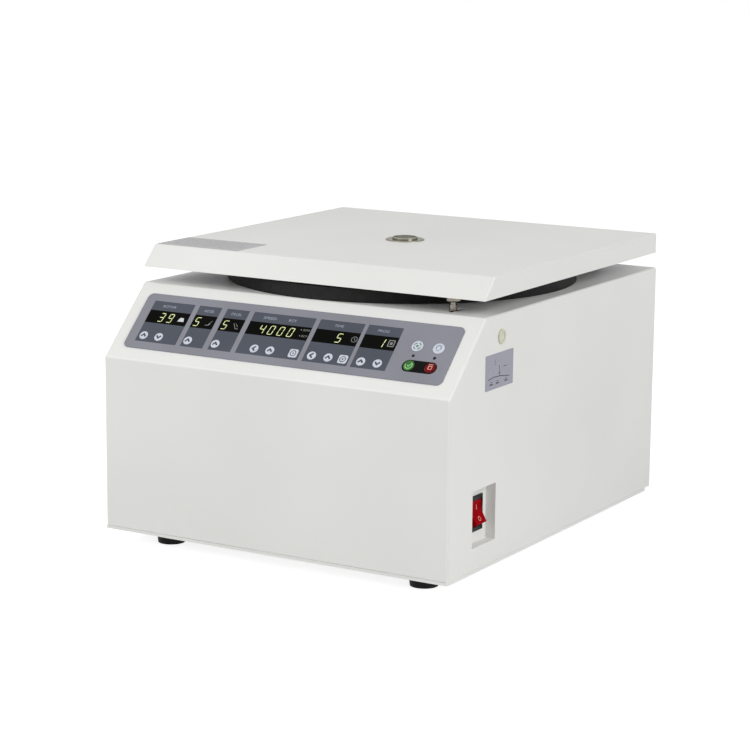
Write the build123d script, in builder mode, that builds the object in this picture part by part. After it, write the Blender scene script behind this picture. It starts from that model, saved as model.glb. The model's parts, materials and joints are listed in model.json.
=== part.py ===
"""Microplate centrifuge with a hinged lid, a sloping keypad and a swing-out plate rotor.

Millimetres, +X to the right, +Y to the rear, +Z up. The origin is the middle of the footprint,
at the level the feet stand on. Every piece is a separate solid, written to its own STEP file.
"""

import os
from math import atan2, cos, hypot, radians, sin, tan

from build123d import *

os.makedirs("parts", exist_ok=True)

# ---------------------------------------------------------------- shared fits
running_fit = 0.05  # radial gap of a pin or shaft that turns in its hole
panel_gap = 0.3  # gap around a piece that drops into a sheet-metal opening
moving_gap = 0.4  # gap beside a piece that moves

# ---------------------------------------------------------------- cabinet
cabinet_width = 430.0
front_height = 188.4  # upright front face
cabinet_height = 261.0  # casing, without base plate and feet
panel_setback = 74.1  # how far the control panel leans back
cover_sheet = 1.5
cover_edge_radius = 3.0

base_thickness = 4.0
base_side_inset = 0.3
base_front_inset = 0.5
base_rear_inset = 11.4
base_seam = 0.8  # chamfer that leaves a shadow line under the casing
base_vent_length = 90.0
base_vent_width = 6.0
base_vent_pitch = 16.0
base_vent_count = 6

foot_height = 18.0
foot_top_radius = 17.0
foot_bottom_radius = 15.0
foot_side_inset = 54.0
foot_end_inset = 47.5
foot_recess_radius = 6.0
foot_recess_depth = 8.0
foot_screw_radius = 2.5
foot_screw_head_radius = 4.5
foot_screw_head_height = 3.0
foot_screw_end = 3.0  # thread standing above the base plate

# ---------------------------------------------------------------- lid
lid_gap = 17.3  # between the cabinet top and the lid's lower edge
lid_thickness = 22.7
lid_width = 428.5
lid_front_setback = 71.7  # lower front edge behind the cabinet's front face
lid_front_lean = 21.8  # how far the lid's front face leans back
lid_rear_overhang = 1.0
lid_sheet = 1.5
lid_edge_radius = 2.0
liner_thickness = 1.5

# ---------------------------------------------------------------- chamber
bowl_radius = 180.0
bowl_wall = 1.2
bowl_depth = 128.0
bowl_corner_radius = 15.0
bowl_flange_width = 14.0
bowl_opening_gap = 2.8  # between the bowl and the opening it hangs in
gasket_inset = 2.0  # gasket's inner face outside the bowl's bore
gasket_skirt = 3.0  # rubber outside the bowl flange
gasket_chamfer = 2.0
gasket_lid_gap = 0.3
guard_gap = 5.8  # between the bowl and the steel guard ring
guard_wall = 3.0
guard_top_gap = 2.0
guard_front_gap = 7.9  # guard ring behind the top of the control panel
guard_rear_gap = 15.1  # guard ring in front of the rear panel

# ---------------------------------------------------------------- working levels and places
guard_inner = bowl_radius + bowl_wall + guard_gap
guard_outer = guard_inner + guard_wall
chamber_setback = panel_setback + guard_front_gap + guard_outer  # rotor axis behind the front face
cabinet_depth = chamber_setback + guard_outer + guard_rear_gap + cover_sheet + base_rear_inset
base_top = foot_height + base_thickness
slope_foot = base_top + front_height
cabinet_top = base_top + cabinet_height
ceiling = cabinet_top - cover_sheet
lid_bottom = cabinet_top + lid_gap
lid_top = lid_bottom + lid_thickness
front = -(cabinet_depth + lid_rear_overhang) / 2
rear = front + cabinet_depth
base_rear = rear - base_rear_inset
base_depth = cabinet_depth - base_front_inset - base_rear_inset
half_width = cabinet_width / 2
inner_half_width = half_width - cover_sheet
chamber_y = front + chamber_setback
slope_rise = cabinet_height - front_height
slope_angle = atan2(slope_rise, panel_setback)
slope_normal = (0, -sin(slope_angle), cos(slope_angle))
# The control panel: origin at the foot of the slope, X across, Y up the slope, Z outwards.
panel = Plane(origin=(0, front, slope_foot), x_dir=(1, 0, 0), z_dir=slope_normal)

# ---------------------------------------------------------------- control panel
overlay_side_margin = 17.0
overlay_height = 73.4
overlay_lift = 15.4  # lower edge of the overlay above the foot of the slope
overlay_thickness = 1.2
overlay_corner_radius = 6.5
overlay_lap_x = 8.0  # how far the overlay laps over the sheet beside its opening
overlay_lap_y = 6.0
window_height = 17.0
window_lift = 50.0
key_row_lift = 32.4
key_diameter = 10.3
mode_key_size = 10.6
mode_key_corner = 2.0
key_fit = 0.2  # gap around a key in the overlay
key_proud = 0.6
key_round = 0.3
key_travel = 0.5
key_flange = 0.8  # rim that keeps a key under the overlay
key_flange_thickness = 1.0
key_flange_gap = 0.1
key_stem_radius = 1.8
board_drop = 10.0  # keypad board below the sheet's outer face
board_thickness = 1.6
board_lap_x = 5.0  # board behind the sheet beside the opening
board_lap_y = 1.0
tact_switch_size = 6.0
tact_switch_height = 4.5
standoff_radius = 2.2
display_side = 0.4  # display module inside its window's outline
led_radius = 1.5
led_dome = 0.3
led_lift = 47.2

# Middle and width of each readout block on the panel.
blocks = {
    "rotor": (-159.25, 53.5),
    "accel": (-111.9, 29.0),
    "decel": (-75.95, 28.9),
    "speed": (-16.25, 77.9),
    "time": (55.5, 54.6),
    "program": (108.15, 41.7),
}
# Each key below a readout: its block, and how far it stands from the block's middle.
round_keys = {
    "key_rotor_up": ("rotor", -18.55),
    "key_rotor_down": ("rotor", 1.25),
    "key_accel_up": ("accel", -7.8),
    "key_decel_up": ("decel", -8.05),
    "key_speed_shift": ("speed", -18.05),
    "key_speed_up": ("speed", 1.85),
    "key_time_shift": ("time", -18.1),
    "key_time_up": ("time", 2.1),
    "key_program_up": ("program", -11.05),
    "key_program_down": ("program", 8.85),
}
mode_keys = {"key_speed_mode": ("speed", 31.05), "key_time_mode": ("time", 20.0)}
# The four larger keys stand in two columns to the right of the readouts.
left_column = 153.2
right_column = 178.1
upper_key_lift = 59.25
upper_key_diameter = 13.0
lower_key_lift = 34.7
lower_key_diameter = 12.2

overlay_width = cabinet_width - 2 * overlay_side_margin
overlay_middle = overlay_lift + overlay_height / 2
panel_opening_width = overlay_width - 2 * overlay_lap_x
panel_opening_height = overlay_height - 2 * overlay_lap_y

# Every key: place across, place up the slope, diameter or side, and whether it is square.
keys = {}
for key_name, (block, shift) in round_keys.items():
    keys[key_name] = (blocks[block][0] + shift, key_row_lift, key_diameter, False)
for key_name, (block, shift) in mode_keys.items():
    keys[key_name] = (blocks[block][0] + shift, key_row_lift, mode_key_size, True)
keys["key_lid_open"] = (left_column, upper_key_lift, upper_key_diameter, False)
keys["key_lamp"] = (right_column, upper_key_lift, upper_key_diameter, False)
keys["key_start"] = (left_column, lower_key_lift, lower_key_diameter, False)
keys["key_stop"] = (right_column, lower_key_lift, lower_key_diameter, False)

# ---------------------------------------------------------------- power switch and side fittings
switch_setback = 75.75
switch_lift = 53.75
recess_width = 50.1
recess_height = 60.5
recess_depth = 11.4
recess_wall = 1.2
bezel_rim = 2.6
bezel_end_rim = 4.6
switch_shift_rear = 1.25  # from the middle of the recess
switch_shift_up = 0.75
bezel_thickness = 2.0
switch_wall = 1.3
switch_floor = 3.0
blade_length = 10.0
blade_width = 6.3
blade_thickness = 0.8
blade_pitch = 10.0
rocker_width = 22.0
rocker_half_length = 14.0
rocker_face_half_length = 12.2
rocker_face_lean = 12.0  # degrees between each rocker face and the rocker's length
rocker_tilt = 17.0  # degrees each way from its middle position
rocker_valley = 4.0  # dip between the two rocker faces, in front of the pivot
rocker_belly = 5.0
rocker_belly_half_length = 11.0
rocker_sink = 3.5  # pivot behind the bezel's front
rocker_pin_radius = 1.5
rocker_pin_length = 0.9
rocker_round = 0.5

plug_setback = 107.3
plug_lift = 237.6
plug_cap_radius = 7.8
plug_cap_thickness = 2.0
plug_cap_round = 0.6
plug_dimple_radius = 5.0
plug_dimple_depth = 0.8
plug_stem_radius = 6.3
plug_stem_length = 8.0
plug_wall = 1.4

side_label_setback = 103.75
side_label_lift = 202.8
side_label_width = 60.5
side_label_height = 37.0
label_thickness = 0.3
label_corner = 1.0
lid_label_width = 106.0
lid_label_depth = 60.0
lid_label_side_margin = 2.2
lid_label_front_margin = 2.5

# ---------------------------------------------------------------- hinges
hinge_spacing = 240.0
hinge_width = 50.0
hinge_leaf_reach = 34.0  # leaf in front of the hinge axis
hinge_leaf_thickness = 2.0
knuckle_radius = 4.5
knuckle_web = 6.0
hinge_pin_radius = 2.0
hinge_lift = 10.0  # axis above the cabinet top
hinge_inset = 7.0  # axis in front of the lid's rear edge
hinge_centre_share = 24.0  # length of the cabinet's knuckle
hinge_side_gap = 0.4
hinge_y = rear + lid_rear_overhang - hinge_inset
hinge_z = cabinet_top + hinge_lift

# ---------------------------------------------------------------- lid lock
striker_side_inset = 25.0  # inside the guard ring's side
striker_front_inset = 12.0  # behind the guard ring's front
striker_flange_radius = 8.0
striker_flange_thickness = 6.0
striker_cone_length = 2.0
striker_neck_radius = 3.0
striker_collar_radius = 4.3
striker_collar_height = 6.0
striker_collar_lift = 1.0  # collar above the cabinet top
striker_shank_radius = 2.4
striker_groove_radius = 1.6
striker_groove_height = 4.0
striker_groove_drop = 6.0  # top of the groove below the cabinet top
striker_tip_length = 6.0
striker_tip_chamfer = 1.2
lock_slot_width = 6.4
lock_slot_front = 9.0  # slot in front of the striker's axis
lock_slot_rear = 22.0
bolt_thickness = 2.2
bolt_width = 12.0
bolt_length = 15.0
bolt_travel = 8.0
bolt_rest_gap = 0.8
plunger_radius = 3.0
plunger_length = 26.0
plunger_end_gap = 3.0
solenoid_gap = 11.0  # between the resting bolt and the solenoid
solenoid_length = 34.0
solenoid_width = 24.0
solenoid_drop = 8.0  # solenoid below its plunger's axis

# ---------------------------------------------------------------- sight port
sight_setback = 278.0
sight_flange_radius = 21.5
sight_flange_thickness = 1.2
sight_tube_radius = 14.25
sight_glass_radius = 12.5
sight_bore_radius = 11.0
sight_collar_height = 3.5
sight_glass_thickness = 3.0
sight_glass_sink = 0.4
sight_round = 0.4

# ---------------------------------------------------------------- drive and rotor
buffer_spacing = 150.0
buffer_radius = 15.0
buffer_waist_radius = 12.5
buffer_height = 25.0
motor_plate_size = 200.0
motor_plate_thickness = 6.0
motor_plate_corner = 20.0
motor_radius = 60.0
motor_height = 85.0
motor_round = 5.0
motor_rib_count = 24
motor_rib_depth = 2.5
motor_rib_width = 3.0
motor_rib_margin = 12.0
bearing_radius = 14.0
bearing_height = 10.0
shaft_radius = 6.0
shaft_clearance = 1.5
shaft_foot_gap = 1.0
shaft_end = 8.0  # threaded end above the rotor hub
shaft_shoulder_radius = 10.0
shaft_shoulder_height = 12.0
seal_radius = 24.0
seal_bore_gap = 4.0
seal_waist = 3.0

pivot_height = 77.0  # trunnion axis above the bowl floor
pivot_radius = 85.0
plate_length = 127.8
plate_width = 85.5
plate_fit = 1.2
carrier_wall = 3.0
carrier_floor = 4.0
carrier_drop = 50.0  # trunnion axis down to the carrier's underside
carrier_rise = 12.0  # trunnion axis up to the end walls' top
carrier_side_height = 32.0
carrier_boss = 2.6
carrier_boss_radius = 10.5
carrier_corner = 4.0
carrier_floor_hole = 20.0
yoke_beam_thickness = 12.0
yoke_beam_height = 28.0
yoke_beam_end = 15.0  # beam beyond the trunnion axis
yoke_web_width = 50.0
yoke_round = 4.0
yoke_hub_radius = 30.0
yoke_hub_drop = 8.0  # hub below the beams
nut_radius = 20.0
nut_height = 16.0
nut_cover = 4.0
nut_flute_count = 12
nut_flute_radius = 3.0
nut_round = 1.5
trunnion_radius = 5.0
trunnion_head_radius = 8.0
trunnion_head_thickness = 2.0

# ---------------------------------------------------------------- rear panel and electrics
lip_width = 14.0
rear_corner_radius = 2.0
vent_rows = 8
vent_pitch_z = 11.0
vent_length = 80.0
vent_width = 4.5
vent_spacing = 200.0
vent_lift = 180.0
panel_screw_radius = 2.0
panel_screw_head_radius = 3.8
panel_screw_head_height = 2.2
panel_screw_length = 5.0
panel_screw_rows = 4
panel_screw_margin = 20.0
inlet_side_inset = 65.0
inlet_lift = 45.0
inlet_flange_width = 50.0
inlet_flange_height = 28.0
inlet_flange_thickness = 2.5
inlet_body_width = 28.0
inlet_body_height = 21.0
inlet_body_depth = 24.0
inlet_mouth_width = 24.6
inlet_mouth_height = 16.6
inlet_mouth_depth = 18.0
inlet_corner = 2.5
inlet_pin_thickness = 2.0
inlet_pin_width = 4.0
inlet_pin_length = 12.0
inlet_pin_pitch = 7.0
inlet_earth_offset = 2.5
board_width = 220.0
board_length = 46.0
drive_board_thickness = 1.6
board_x = -70.0
board_setback = 40.0
board_standoff = 8.0
board_standoff_radius = 4.0
board_standoff_margin = 7.0
capacitor_radius = 11.0
capacitor_height = 34.0
capacitor_pitch = 26.0
capacitor_count = 3
heat_sink_width = 70.0
heat_sink_length = 34.0
heat_sink_base = 5.0
heat_sink_height = 26.0
heat_sink_fins = 8
heat_sink_fin_width = 2.0
heat_sink_shift = 55.0  # heat sink and capacitors either side of the board's middle


def write(builder, name):
    """Label one finished piece and write it to the STEP file of that name."""
    builder.part.label = name
    export_step(builder.part, f"parts/{name}.step")


# ================================================================ casing
# Front, sloping panel, top and both sides of one folded sheet, open below and behind. Lips inside
# the rear opening take the rear panel's screws.
rear_panel_y = base_rear - cover_sheet
recess_y = front + switch_setback
recess_z = base_top + switch_lift
switch_y = recess_y + switch_shift_rear
switch_z = recess_z + switch_shift_up
plug_y = front + plug_setback
plug_z = base_top + plug_lift
striker_x = guard_outer - striker_side_inset
striker_y = chamber_y - guard_outer + striker_front_inset
inlet_x = inlet_side_inset - half_width
lip_x = inner_half_width - lip_width / 2
screw_pitch = (cabinet_height - cover_sheet - 2 * panel_screw_margin) / (panel_screw_rows - 1)
screw_heights = [panel_screw_margin + row * screw_pitch for row in range(panel_screw_rows)]
panel_screw_places = [(side * lip_x, height) for side in (-1, 1) for height in screw_heights]
# The rear panel's plane: X to the right, Y up from the base plate, Z towards the front.
rear_plane = Plane(origin=(0, base_rear, base_top), x_dir=(1, 0, 0), z_dir=(0, -1, 0))
side_plane = Plane.YZ.offset(half_width)

with BuildPart() as casing:
    with BuildSketch(Plane.YZ):
        with BuildLine():
            Polyline(
                (front, base_top),
                (front, slope_foot),
                (front + panel_setback, cabinet_top),
                (rear, cabinet_top),
                (rear, base_top),
                close=True,
            )
        make_face()
    extrude(amount=half_width, both=True)
    bottom_edges = casing.faces().sort_by(Axis.Z)[0].edges()
    rear_edges = casing.faces().sort_by(Axis.Y)[-1].edges()
    open_middles = [edge.center() for edge in bottom_edges + rear_edges]
    folds = [e for e in casing.edges() if all((e.center() - m).length > cover_sheet for m in open_middles)]
    fillet(folds, radius=cover_edge_radius)
    open_faces = [casing.faces().sort_by(Axis.Z)[0], casing.faces().sort_by(Axis.Y)[-1]]
    offset(amount=-cover_sheet, openings=open_faces)
    with BuildSketch(Plane.XY.offset(base_top)):
        with Locations(*[(side * lip_x, rear_panel_y - cover_sheet / 2) for side in (-1, 1)]):
            Rectangle(lip_width, cover_sheet)
    extrude(amount=cabinet_height - cover_sheet)
    with BuildSketch(rear_plane):
        with Locations(*panel_screw_places):
            Circle(panel_screw_radius + panel_gap)
    extrude(amount=3 * cover_sheet, mode=Mode.SUBTRACT)
    # Chamber opening and the slot for the lid striker.
    with BuildSketch(Plane.XY.offset(cabinet_top)):
        with Locations((0, chamber_y)):
            Circle(bowl_radius + bowl_wall + bowl_opening_gap)
        with Locations((striker_x, striker_y + (lock_slot_rear - lock_slot_front) / 2)):
            SlotOverall(lock_slot_front + lock_slot_rear, lock_slot_width, rotation=90)
    extrude(amount=-2 * cover_sheet, mode=Mode.SUBTRACT)
    # Opening behind the keypad overlay.
    with BuildSketch(panel):
        with Locations((0, overlay_middle)):
            Rectangle(panel_opening_width, panel_opening_height)
    extrude(amount=-2 * cover_sheet, mode=Mode.SUBTRACT)
    # Switch recess and release plug in the right side.
    with BuildSketch(side_plane):
        with Locations((recess_y, recess_z)):
            Rectangle(recess_width, recess_height)
        with Locations((plug_y, plug_z)):
            Circle(plug_stem_radius + panel_gap)
    extrude(amount=-2 * cover_sheet, mode=Mode.SUBTRACT)
write(casing, "casing")

# ================================================================ base plate and feet
foot_x = half_width - foot_side_inset
foot_y = [front + foot_end_inset, base_rear - foot_end_inset]
foot_places = [(side * foot_x, y) for side in (-1, 1) for y in foot_y]

with BuildPart() as base_plate:
    with BuildSketch(Plane.XY.offset(foot_height)):
        with Locations((0, front + base_front_inset + base_depth / 2)):
            Rectangle(cabinet_width - 2 * base_side_inset, base_depth)
        with Locations(*foot_places):
            Circle(foot_screw_radius + panel_gap, mode=Mode.SUBTRACT)
        with Locations((0, chamber_y)):
            with GridLocations(base_vent_pitch, 1, base_vent_count, 1):
                SlotOverall(base_vent_length, base_vent_width, rotation=90, mode=Mode.SUBTRACT)
    extrude(amount=base_thickness)
    outline = base_plate.edges().group_by(Axis.Z)[-1].filter_by(lambda edge: edge.length > half_width)
    chamfer(outline, length=base_seam)
write(base_plate, "base_plate")

# Four tapered rubber feet, each with a recess below for its screw head.
foot_screw_seat = foot_recess_depth
with BuildPart() as rubber_feet:
    with Locations(*[(x, y, foot_height / 2) for x, y in foot_places]):
        Cone(foot_bottom_radius, foot_top_radius, foot_height)
    with BuildSketch(Plane.XY):
        with Locations(*foot_places):
            Circle(foot_recess_radius)
    extrude(amount=foot_screw_seat, mode=Mode.SUBTRACT)
    with BuildSketch(Plane.XY):
        with Locations(*foot_places):
            Circle(foot_screw_radius + panel_gap)
    extrude(amount=foot_height, mode=Mode.SUBTRACT)
write(rubber_feet, "rubber_feet")

with BuildPart() as foot_screws:
    with BuildSketch(Plane.XY.offset(foot_screw_seat - foot_screw_head_height)):
        with Locations(*foot_places):
            Circle(foot_screw_head_radius)
    extrude(amount=foot_screw_head_height)
    with BuildSketch(Plane.XY.offset(foot_screw_seat)):
        with Locations(*foot_places):
            Circle(foot_screw_radius)
    extrude(amount=base_top - foot_screw_seat + foot_screw_end)
write(foot_screws, "foot_screws")

# ================================================================ rear panel, screws and inlet
with BuildPart() as rear_panel:
    panel_height = cabinet_height - cover_sheet - panel_gap
    with BuildSketch(rear_plane):
        with Locations((0, panel_height / 2)):
            Rectangle(2 * (inner_half_width - panel_gap), panel_height)
        with Locations(*panel_screw_places):
            Circle(panel_screw_radius + panel_gap, mode=Mode.SUBTRACT)
        with Locations((0, vent_lift)):
            with GridLocations(vent_spacing, vent_pitch_z, 2, vent_rows):
                SlotOverall(vent_length, vent_width, mode=Mode.SUBTRACT)
        with Locations((inlet_x, inlet_lift)):
            inlet_hole = (inlet_body_width + 2 * panel_gap, inlet_body_height + 2 * panel_gap)
            RectangleRounded(*inlet_hole, inlet_corner, mode=Mode.SUBTRACT)
    extrude(amount=cover_sheet)
    upright_edges = rear_panel.edges().filter_by(Axis.Y)
    fillet(upright_edges.group_by(Axis.Z)[-1], radius=rear_corner_radius)
write(rear_panel, "rear_panel")

with BuildPart() as panel_screws:
    with BuildSketch(rear_plane):
        with Locations(*panel_screw_places):
            Circle(panel_screw_head_radius)
    extrude(amount=-panel_screw_head_height)
    with BuildSketch(rear_plane):
        with Locations(*panel_screw_places):
            Circle(panel_screw_radius)
    extrude(amount=panel_screw_length)
write(panel_screws, "panel_screws")

# Three-pin power inlet: flange outside the rear panel, body behind it, pins standing in the mouth.
with BuildPart() as power_inlet:
    inlet_place = (inlet_x, inlet_lift)
    with BuildSketch(rear_plane):
        with Locations(inlet_place):
            RectangleRounded(inlet_flange_width, inlet_flange_height, inlet_corner)
    extrude(amount=-inlet_flange_thickness)
    with BuildSketch(rear_plane):
        with Locations(inlet_place):
            RectangleRounded(inlet_body_width, inlet_body_height, inlet_corner)
    extrude(amount=inlet_body_depth)
    mouth_plane = rear_plane.offset(-inlet_flange_thickness)
    with BuildSketch(mouth_plane):
        with Locations(inlet_place):
            RectangleRounded(inlet_mouth_width, inlet_mouth_height, inlet_corner)
    extrude(amount=inlet_mouth_depth, mode=Mode.SUBTRACT)
    with BuildSketch(mouth_plane.offset(inlet_mouth_depth)):
        with Locations(
            (inlet_x - inlet_pin_pitch, inlet_lift - inlet_earth_offset),
            (inlet_x, inlet_lift + inlet_earth_offset),
            (inlet_x + inlet_pin_pitch, inlet_lift - inlet_earth_offset),
        ):
            Rectangle(inlet_pin_thickness, inlet_pin_width)
    extrude(amount=-inlet_pin_length)
write(power_inlet, "power_inlet")

# ================================================================ control panel
window_middle = window_lift + window_height / 2
led_places = [(column, led_lift) for column in (left_column, right_column)]

with BuildPart() as keypad_overlay:
    with BuildSketch(panel):
        with Locations((0, overlay_middle)):
            RectangleRounded(overlay_width, overlay_height, overlay_corner_radius)
        for across, width in blocks.values():
            with Locations((across, window_middle)):
                Rectangle(width, window_height, mode=Mode.SUBTRACT)
        for across, lift, size, square in keys.values():
            with Locations((across, lift)):
                if square:
                    hole_side = size + 2 * key_fit
                    RectangleRounded(hole_side, hole_side, mode_key_corner + key_fit, mode=Mode.SUBTRACT)
                else:
                    Circle(size / 2 + key_fit, mode=Mode.SUBTRACT)
        with Locations(*led_places):
            Circle(led_radius + key_fit, mode=Mode.SUBTRACT)
    extrude(amount=overlay_thickness)
write(keypad_overlay, "keypad_overlay")

# Clear windows let into the overlay, one in front of each readout.
with BuildPart() as display_windows:
    with BuildSketch(panel):
        for across, width in blocks.values():
            with Locations((across, window_middle)):
                Rectangle(width - running_fit, window_height - running_fit)
    extrude(amount=overlay_thickness)
write(display_windows, "display_windows")

# Digit modules stand on the board and carry the windows.
with BuildPart() as display_modules:
    with BuildSketch(panel):
        for across, width in blocks.values():
            with Locations((across, window_middle)):
                Rectangle(width - 2 * display_side, window_height - 2 * display_side)
    extrude(amount=-board_drop)
write(display_modules, "display_modules")

board_half_x = panel_opening_width / 2 + board_lap_x
board_half_y = panel_opening_height / 2 + board_lap_y
standoff_x = board_half_x - standoff_radius
standoff_rows = [overlay_middle - panel_opening_height / 4, overlay_middle + panel_opening_height / 4]
with BuildPart() as keypad_board:
    with BuildSketch(panel.offset(-board_drop)):
        with Locations((0, overlay_middle)):
            Rectangle(2 * board_half_x, 2 * board_half_y)
    extrude(amount=-board_thickness)
    # Key switches under the keys.
    with BuildSketch(panel.offset(-board_drop)):
        for across, lift, size, square in keys.values():
            with Locations((across, lift)):
                Rectangle(tact_switch_size, tact_switch_size)
    extrude(amount=tact_switch_height)
    # Standoffs up to the underside of the sheet, beside its opening.
    with BuildSketch(panel.offset(-board_drop)):
        with Locations(*[(side * standoff_x, row) for side in (-1, 1) for row in standoff_rows]):
            Circle(standoff_radius)
    extrude(amount=board_drop - cover_sheet)
write(keypad_board, "keypad_board")

with BuildPart() as status_leds:
    with BuildSketch(panel.offset(-board_drop)):
        with Locations(*led_places):
            Circle(led_radius)
    extrude(amount=board_drop + overlay_thickness + led_dome)
write(status_leds, "status_leds")

# Each key: cap through the overlay, rim that keeps it there, and a stem above its key switch.
key_top = overlay_thickness + key_proud
key_rim_top = -key_flange_gap
key_stem_tip = -board_drop + tact_switch_height + key_travel + key_flange_gap
for key_name, (across, lift, size, square) in keys.items():
    with BuildPart() as key:
        with BuildSketch(panel.offset(key_rim_top)):
            with Locations((across, lift)):
                if square:
                    RectangleRounded(size, size, mode_key_corner)
                else:
                    Circle(size / 2)
        extrude(amount=key_top - key_rim_top)
        cap_face = key.faces().sort_by(Axis((0, 0, 0), slope_normal))[-1]
        fillet(cap_face.edges(), radius=key_round)
        with BuildSketch(panel.offset(key_rim_top)):
            with Locations((across, lift)):
                Circle(size / 2 + key_flange)
        extrude(amount=-key_flange_thickness)
        with BuildSketch(panel.offset(key_stem_tip)):
            with Locations((across, lift)):
                Circle(key_stem_radius)
        extrude(amount=key_rim_top - key_stem_tip)
    write(key, key_name)

# ================================================================ power switch
# The recess is a tray behind the side sheet. The switch stands on its floor and reaches through it.
switch_place = (switch_y, switch_z)
rocker_rise = rocker_valley + rocker_face_half_length * tan(radians(rocker_face_lean))
rocker_reach = max(rocker_half_length, hypot(rocker_face_half_length, rocker_rise))
mouth_width = rocker_width + 2 * moving_gap
mouth_height = 2 * (rocker_reach + moving_gap)
bezel_size = (mouth_width + 2 * bezel_rim, mouth_height + 2 * bezel_end_rim)
switch_body_size = (mouth_width + 2 * switch_wall, mouth_height + 2 * switch_wall)
switch_cavity = rocker_sink + hypot(rocker_belly, rocker_belly_half_length) + moving_gap
switch_body_depth = switch_cavity - bezel_thickness + switch_floor
tray_depth = recess_depth - cover_sheet
tray_plane = side_plane.offset(-cover_sheet)
floor_plane = side_plane.offset(-recess_depth)

with BuildPart() as switch_recess:
    with BuildSketch(tray_plane):
        with Locations((recess_y, recess_z)):
            Rectangle(recess_width + 2 * recess_wall, recess_height + 2 * recess_wall)
    extrude(amount=-tray_depth - recess_wall)
    with BuildSketch(tray_plane):
        with Locations((recess_y, recess_z)):
            Rectangle(recess_width, recess_height)
    extrude(amount=-tray_depth, mode=Mode.SUBTRACT)
    with BuildSketch(floor_plane):
        with Locations(switch_place):
            Rectangle(*[side + 2 * panel_gap for side in switch_body_size])
    extrude(amount=-2 * recess_wall, mode=Mode.SUBTRACT)
write(switch_recess, "switch_recess")

pivot_x = half_width - recess_depth + bezel_thickness - rocker_sink
with BuildPart() as switch_housing:
    with BuildSketch(floor_plane):
        with Locations(switch_place):
            Rectangle(*bezel_size)
    extrude(amount=bezel_thickness)
    bezel_front = switch_housing.faces().sort_by(Axis.X)[-1]
    chamfer(bezel_front.edges(), length=rocker_round)
    with BuildSketch(floor_plane):
        with Locations(switch_place):
            Rectangle(*switch_body_size)
    extrude(amount=-switch_body_depth)
    with BuildSketch(floor_plane.offset(bezel_thickness)):
        with Locations(switch_place):
            Rectangle(mouth_width, mouth_height)
    extrude(amount=-switch_cavity, mode=Mode.SUBTRACT)
    # Seats of the rocker's two pivots.
    with BuildSketch(Plane(origin=(pivot_x, switch_y, switch_z), x_dir=(1, 0, 0), z_dir=(0, 1, 0))):
        Circle(rocker_pin_radius + running_fit)
    extrude(amount=rocker_width / 2 + rocker_pin_length + running_fit, both=True, mode=Mode.SUBTRACT)
    # Terminal blades.
    with BuildSketch(floor_plane.offset(-switch_body_depth)):
        with Locations(switch_place):
            with GridLocations(1, blade_pitch, 1, 3):
                Rectangle(blade_width, blade_thickness)
    extrude(amount=-blade_length)
write(switch_housing, "switch_housing")

# The rocker rests with its upper half pressed in.
lean = radians(rocker_tilt)
rocker_plane = Plane(
    origin=(pivot_x, switch_y, switch_z),
    x_dir=(-sin(lean), 0, cos(lean)),
    z_dir=(0, 1, 0),
)
with BuildPart() as power_rocker:
    with BuildSketch(rocker_plane):
        with BuildLine():
            Polyline(
                (-rocker_face_half_length, rocker_rise),
                (0, rocker_valley),
                (rocker_face_half_length, rocker_rise),
                (rocker_half_length, 0),
                (rocker_belly_half_length, -rocker_belly),
                (-rocker_belly_half_length, -rocker_belly),
                (-rocker_half_length, 0),
                close=True,
            )
        make_face()
    extrude(amount=rocker_width / 2, both=True)
    tip_edges = power_rocker.edges().filter_by(Axis.Y).sort_by(Axis.X)[-1]
    fillet(tip_edges, radius=rocker_round)
    with BuildSketch(rocker_plane):
        Circle(rocker_pin_radius)
    extrude(amount=rocker_width / 2 + rocker_pin_length, both=True)
write(power_rocker, "power_rocker")

# ================================================================ side fittings
with BuildPart() as release_plug:
    with BuildSketch(side_plane):
        with Locations((plug_y, plug_z)):
            Circle(plug_cap_radius)
    extrude(amount=plug_cap_thickness)
    cap_face = release_plug.faces().sort_by(Axis.X)[-1]
    fillet(cap_face.edges(), radius=plug_cap_round)
    with BuildSketch(side_plane.offset(plug_cap_thickness)):
        with Locations((plug_y, plug_z)):
            Circle(plug_dimple_radius)
    extrude(amount=-plug_dimple_depth, mode=Mode.SUBTRACT)
    with BuildSketch(side_plane):
        with Locations((plug_y, plug_z)):
            Circle(plug_stem_radius)
            Circle(plug_stem_radius - plug_wall, mode=Mode.SUBTRACT)
    extrude(amount=-plug_stem_length)
write(release_plug, "release_plug")

with BuildPart() as side_label:
    with BuildSketch(side_plane):
        with Locations((front + side_label_setback, base_top + side_label_lift)):
            RectangleRounded(side_label_width, side_label_height, label_corner)
    extrude(amount=label_thickness)
write(side_label, "side_label")

# ================================================================ chamber
# Profiles turned about the rotor axis: X is the radius, Y is the height above the table.
chamber_axis = Axis((0, chamber_y, 0), (0, 0, 1))
turning_plane = Plane(origin=(0, chamber_y, 0), x_dir=(1, 0, 0), z_dir=(0, -1, 0))
bowl_floor = cabinet_top - bowl_depth
flange_top = cabinet_top + bowl_wall
flange_radius = bowl_radius + bowl_flange_width
drain_radius = shaft_radius + seal_bore_gap

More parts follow.
